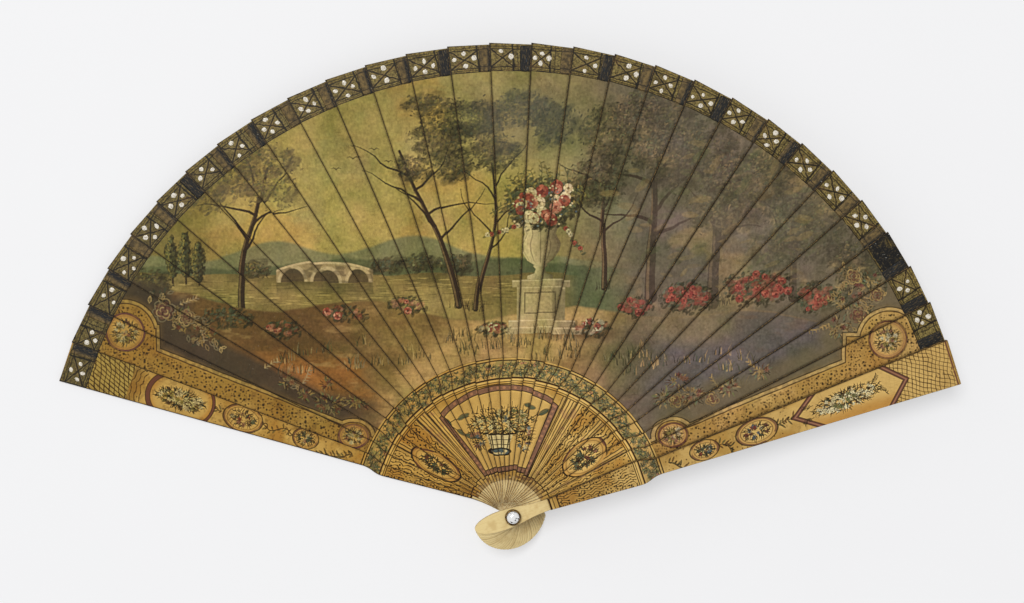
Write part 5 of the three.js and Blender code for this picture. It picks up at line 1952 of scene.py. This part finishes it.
DOT_RADIUS = 1.0
DOT_HEIGHT = 0.09
DOT_JITTER = 0.65
DOT_SPREAD = 0.31
DOT_RISE = 2.55
DOTS_LOST = 0.08
CELL_START = -9.4
CELL_MIDDLE = TIP_BAND_START + 5.5

dots = dot_growth()
for index in range(LAST_STICK):
    if index == BLACKED_TIP:
        continue
    cell = tip_cell(index)
    reach = DOT_SPREAD * cell
    middle = (CELL_START + cell / 2, CELL_MIDDLE, stick_heights(index)[1])
    piece = dots.grow(f"tip_dots_{index:02d}", {
        "Reach": reach * MM, "Lean": DOT_RISE / reach, "Dot radius": DOT_RADIUS * MM,
        "Dot height": DOT_HEIGHT * MM, "Jitter": DOT_JITTER * MM, "Lost": DOTS_LOST, "Seed": 40 + index,
        "Middle": [MM * value for value in middle], "Turn": stick_angle(index),
    })
    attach(piece, f"blade_{index:02d}" if index else "back_guard")


def lathe(name, profile, steps, material):
    """A closed ring or solid turned about the rivet's axis; profile is (radius, height) against the clock."""
    profile = np.array(profile, float)
    turn = np.linspace(0, 2 * math.pi, steps + 1)[:-1]
    x, y = np.cos(turn), np.sin(turn)
    points = np.concatenate([np.stack([r * x, r * y, np.full(steps, z)], 1) for r, z in profile])
    count = len(profile)
    faces = []
    for k in range(count):
        a = k * steps + np.arange(steps)
        b = (k + 1) % count * steps + np.arange(steps)
        faces.append(np.stack([a, np.roll(a, -1), np.roll(b, -1), b], 1))
    return mesh_piece(name, points, np.concatenate(faces), [material], smooth=True)


COLLET_Z = 24.9
collet_profile = [
    (1.45, 0.0), (3.3, 0.0), (3.4, 0.1), (3.4, 0.4), (3.28, 0.52), (3.12, 0.6), (3.08, 1.15), (3.2, 1.3),
    (3.36, 1.4), (3.36, 1.56), (3.2, 1.66), (2.86, 1.68), (2.7, 1.6), (2.68, 0.72), (1.45, 0.7),
]
collet = lathe("stone_collet_cup", [(r, z + COLLET_Z) for r, z in collet_profile], 96, BRASS)


def bead_growth():
    """A ring of grains round the collet's rim."""
    g = Growth("collet_grains", Int=("Count",), Float=("Ring radius", "Grain radius", "Height"))
    given = g.given
    circle = {"Vertices": given["Count"], "Radius": given["Ring radius"]}
    ring = g.node("GeometryNodeMeshCircle", {}, circle)
    ball = {"Segments": 10, "Rings": 6, "Radius": given["Grain radius"]}
    grain = g.node("GeometryNodeMeshUVSphere", {}, ball)
    grains = g.node("GeometryNodeInstanceOnPoints", {}, {"Points": ring, "Instance": grain})
    lift = g.node("ShaderNodeCombineXYZ", {}, {2: given["Height"]})
    g.finish(g.node("GeometryNodeTransform", {}, {"Geometry": grains, "Translation": lift}), BRASS)
    return g


GRAINS = 30
GRAIN_RADIUS = 0.3
GRAIN_RING_RADIUS = 3.05
GRAIN_Z = COLLET_Z + 1.62
grains = bead_growth().grow("stone_collet_grains", {
    "Count": GRAINS, "Ring radius": GRAIN_RING_RADIUS * MM, "Grain radius": GRAIN_RADIUS * MM,
    "Height": GRAIN_Z * MM,
})

STONE_Z = 25.75


def cut_stone(name):
    """A round stone: a small table, three rows of facets above the girdle and two below it."""
    rings = ((8, 1.4, 0.0, 0.0), (8, 2.05, 0.5, 0.36), (16, 2.55, 0.0, 0.78), (16, 2.55, 0.0, 0.92),
             (8, 2.3, 0.5, 1.2), (8, 1.75, 0.0, 1.55), (8, 1.0, 0.5, 1.8))
    mesh = bmesh.new()
    for count, radius, offset, height in rings:
        for k in range(count):
            x, y = polar(0, 0, 2 * math.pi * (k + offset) / count, radius)
            mesh.verts.new((x * MM, y * MM, (STONE_Z + height) * MM))
    bmesh.ops.convex_hull(mesh, input=mesh.verts)
    bmesh.ops.dissolve_limit(mesh, angle_limit=0.01, verts=mesh.verts, edges=mesh.edges)
    bmesh.ops.recalc_face_normals(mesh, faces=mesh.faces)
    data = bpy.data.meshes.new(name)
    mesh.to_mesh(data)
    mesh.free()
    data.materials.append(PASTE)
    # A random tone for each facet, which the glass finish turns into painted reflections: a few facets dark
    tones = np.random.default_rng(6).random(len(data.polygons), dtype=np.float32)
    data.attributes.new("facet", "FLOAT", "FACE").data.foreach_set("value", tones)
    return linked(name, data)


stone = cut_stone("paste_stone_cut")
foil_profile = [(0.05, 25.62), (1.5, 25.62), (2.64, 26.36), (2.6, 26.4), (1.46, 25.68), (0.05, 25.68)]
foil = lathe("stone_foil_dish", foil_profile, 64, FOIL)
for piece in (collet, grains, stone, foil):
    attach(piece, "back_guard")
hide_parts("stone_collet")
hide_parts("paste_stone")

pin = frame["nodes"]["rivet_pin"]
pin.data.materials.clear()
pin.data.materials.append(BRASS)

# The table that the fan lies on: seen directly, part of its paleness is its own, which keeps shadows light
PALE = (0.915, 0.915, 0.925)
GLOW_SHARE = 0.5
FLOOR_HALF = 3000
floor_finish = Finish("pale_floor", Roughness=0.9, Specular_IOR_Level=0.1)
paper = floor_finish.noise(floor_finish.in_millimetres(), 0.02, 2.0)
floor_finish.set(Base_Color=floor_finish.mix(PALE, (0.895, 0.895, 0.905), paper))
ray = floor_finish.node("ShaderNodeLightPath", {}, {}).outputs
seen = floor_finish.maths("MAXIMUM", ray["Is Camera Ray"], ray["Is Glossy Ray"])
seen = floor_finish.maths("MAXIMUM", seen, ray["Is Transmission Ray"])
glow = floor_finish.node("ShaderNodeEmission", {}, {"Color": PALE, "Strength": 1.0})
layers = {0: seen * GLOW_SHARE, 1: floor_finish.surface, 2: glow}
shown = floor_finish.node("ShaderNodeMixShader", {}, layers)
floor_finish.feed(floor_finish.tree.nodes["Material Output"].inputs["Surface"], shown)
corners = FLOOR_HALF * np.array([(-1, -1, 0), (1, -1, 0), (1, 1, 0), (-1, 1, 0)], float)
floor = mesh_piece("floor", corners, np.array([(0, 1, 2, 3)]), [floor_finish.material])

scene = bpy.context.scene
scene.view_settings.view_transform = "Standard"
ROOM_LIGHT = 0.5
world = bpy.data.worlds.new("soft_room")
world.use_nodes = True
room = world.node_tree.nodes["Background"].inputs
room["Color"].default_value = (1.0, 1.0, 1.0, 1.0)
room["Strength"].default_value = ROOM_LIGHT
scene.world = world


def look_at(place, target, up=(0, 1, 0)):
    """The placing of a lamp or camera that faces a target."""
    back = (Vector(place) - Vector(target)).normalized()
    right = Vector(up).cross(back).normalized()
    turn = Matrix((right, back.cross(right), back)).transposed().to_4x4()
    return Matrix.Translation(Vector(place)) @ turn


LAMP_PLACE = (-0.95, 1.35, 3.7)
LAMP_TARGET = (0, 0.09, 0)
LAMP_SIZE = 1.5
LAMP_POWER = 85.0
lamp_data = bpy.data.lights.new("key_lamp", "AREA")
lamp_data.shape = "DISK"
lamp_data.size = LAMP_SIZE
lamp_data.energy = LAMP_POWER
linked("key_lamp", lamp_data).matrix_world = look_at(LAMP_PLACE, LAMP_TARGET)

LENS_MM = 74.914
SENSOR_WIDTH_MM = 36.0
CAMERA_PLACE = (-0.06809, 0.20389, 0.9)
CAMERA_TARGET = (0.00101, 0.08826, 0.0)
CAMERA_ROLL = -math.radians(0.333)
camera_data = bpy.data.cameras.new("camera")
camera_data.sensor_width = SENSOR_WIDTH_MM
camera_data.lens = LENS_MM
camera = linked("camera", camera_data)
camera.matrix_world = look_at(CAMERA_PLACE, CAMERA_TARGET, (CAMERA_ROLL, 1, 0))
scene.camera = camera
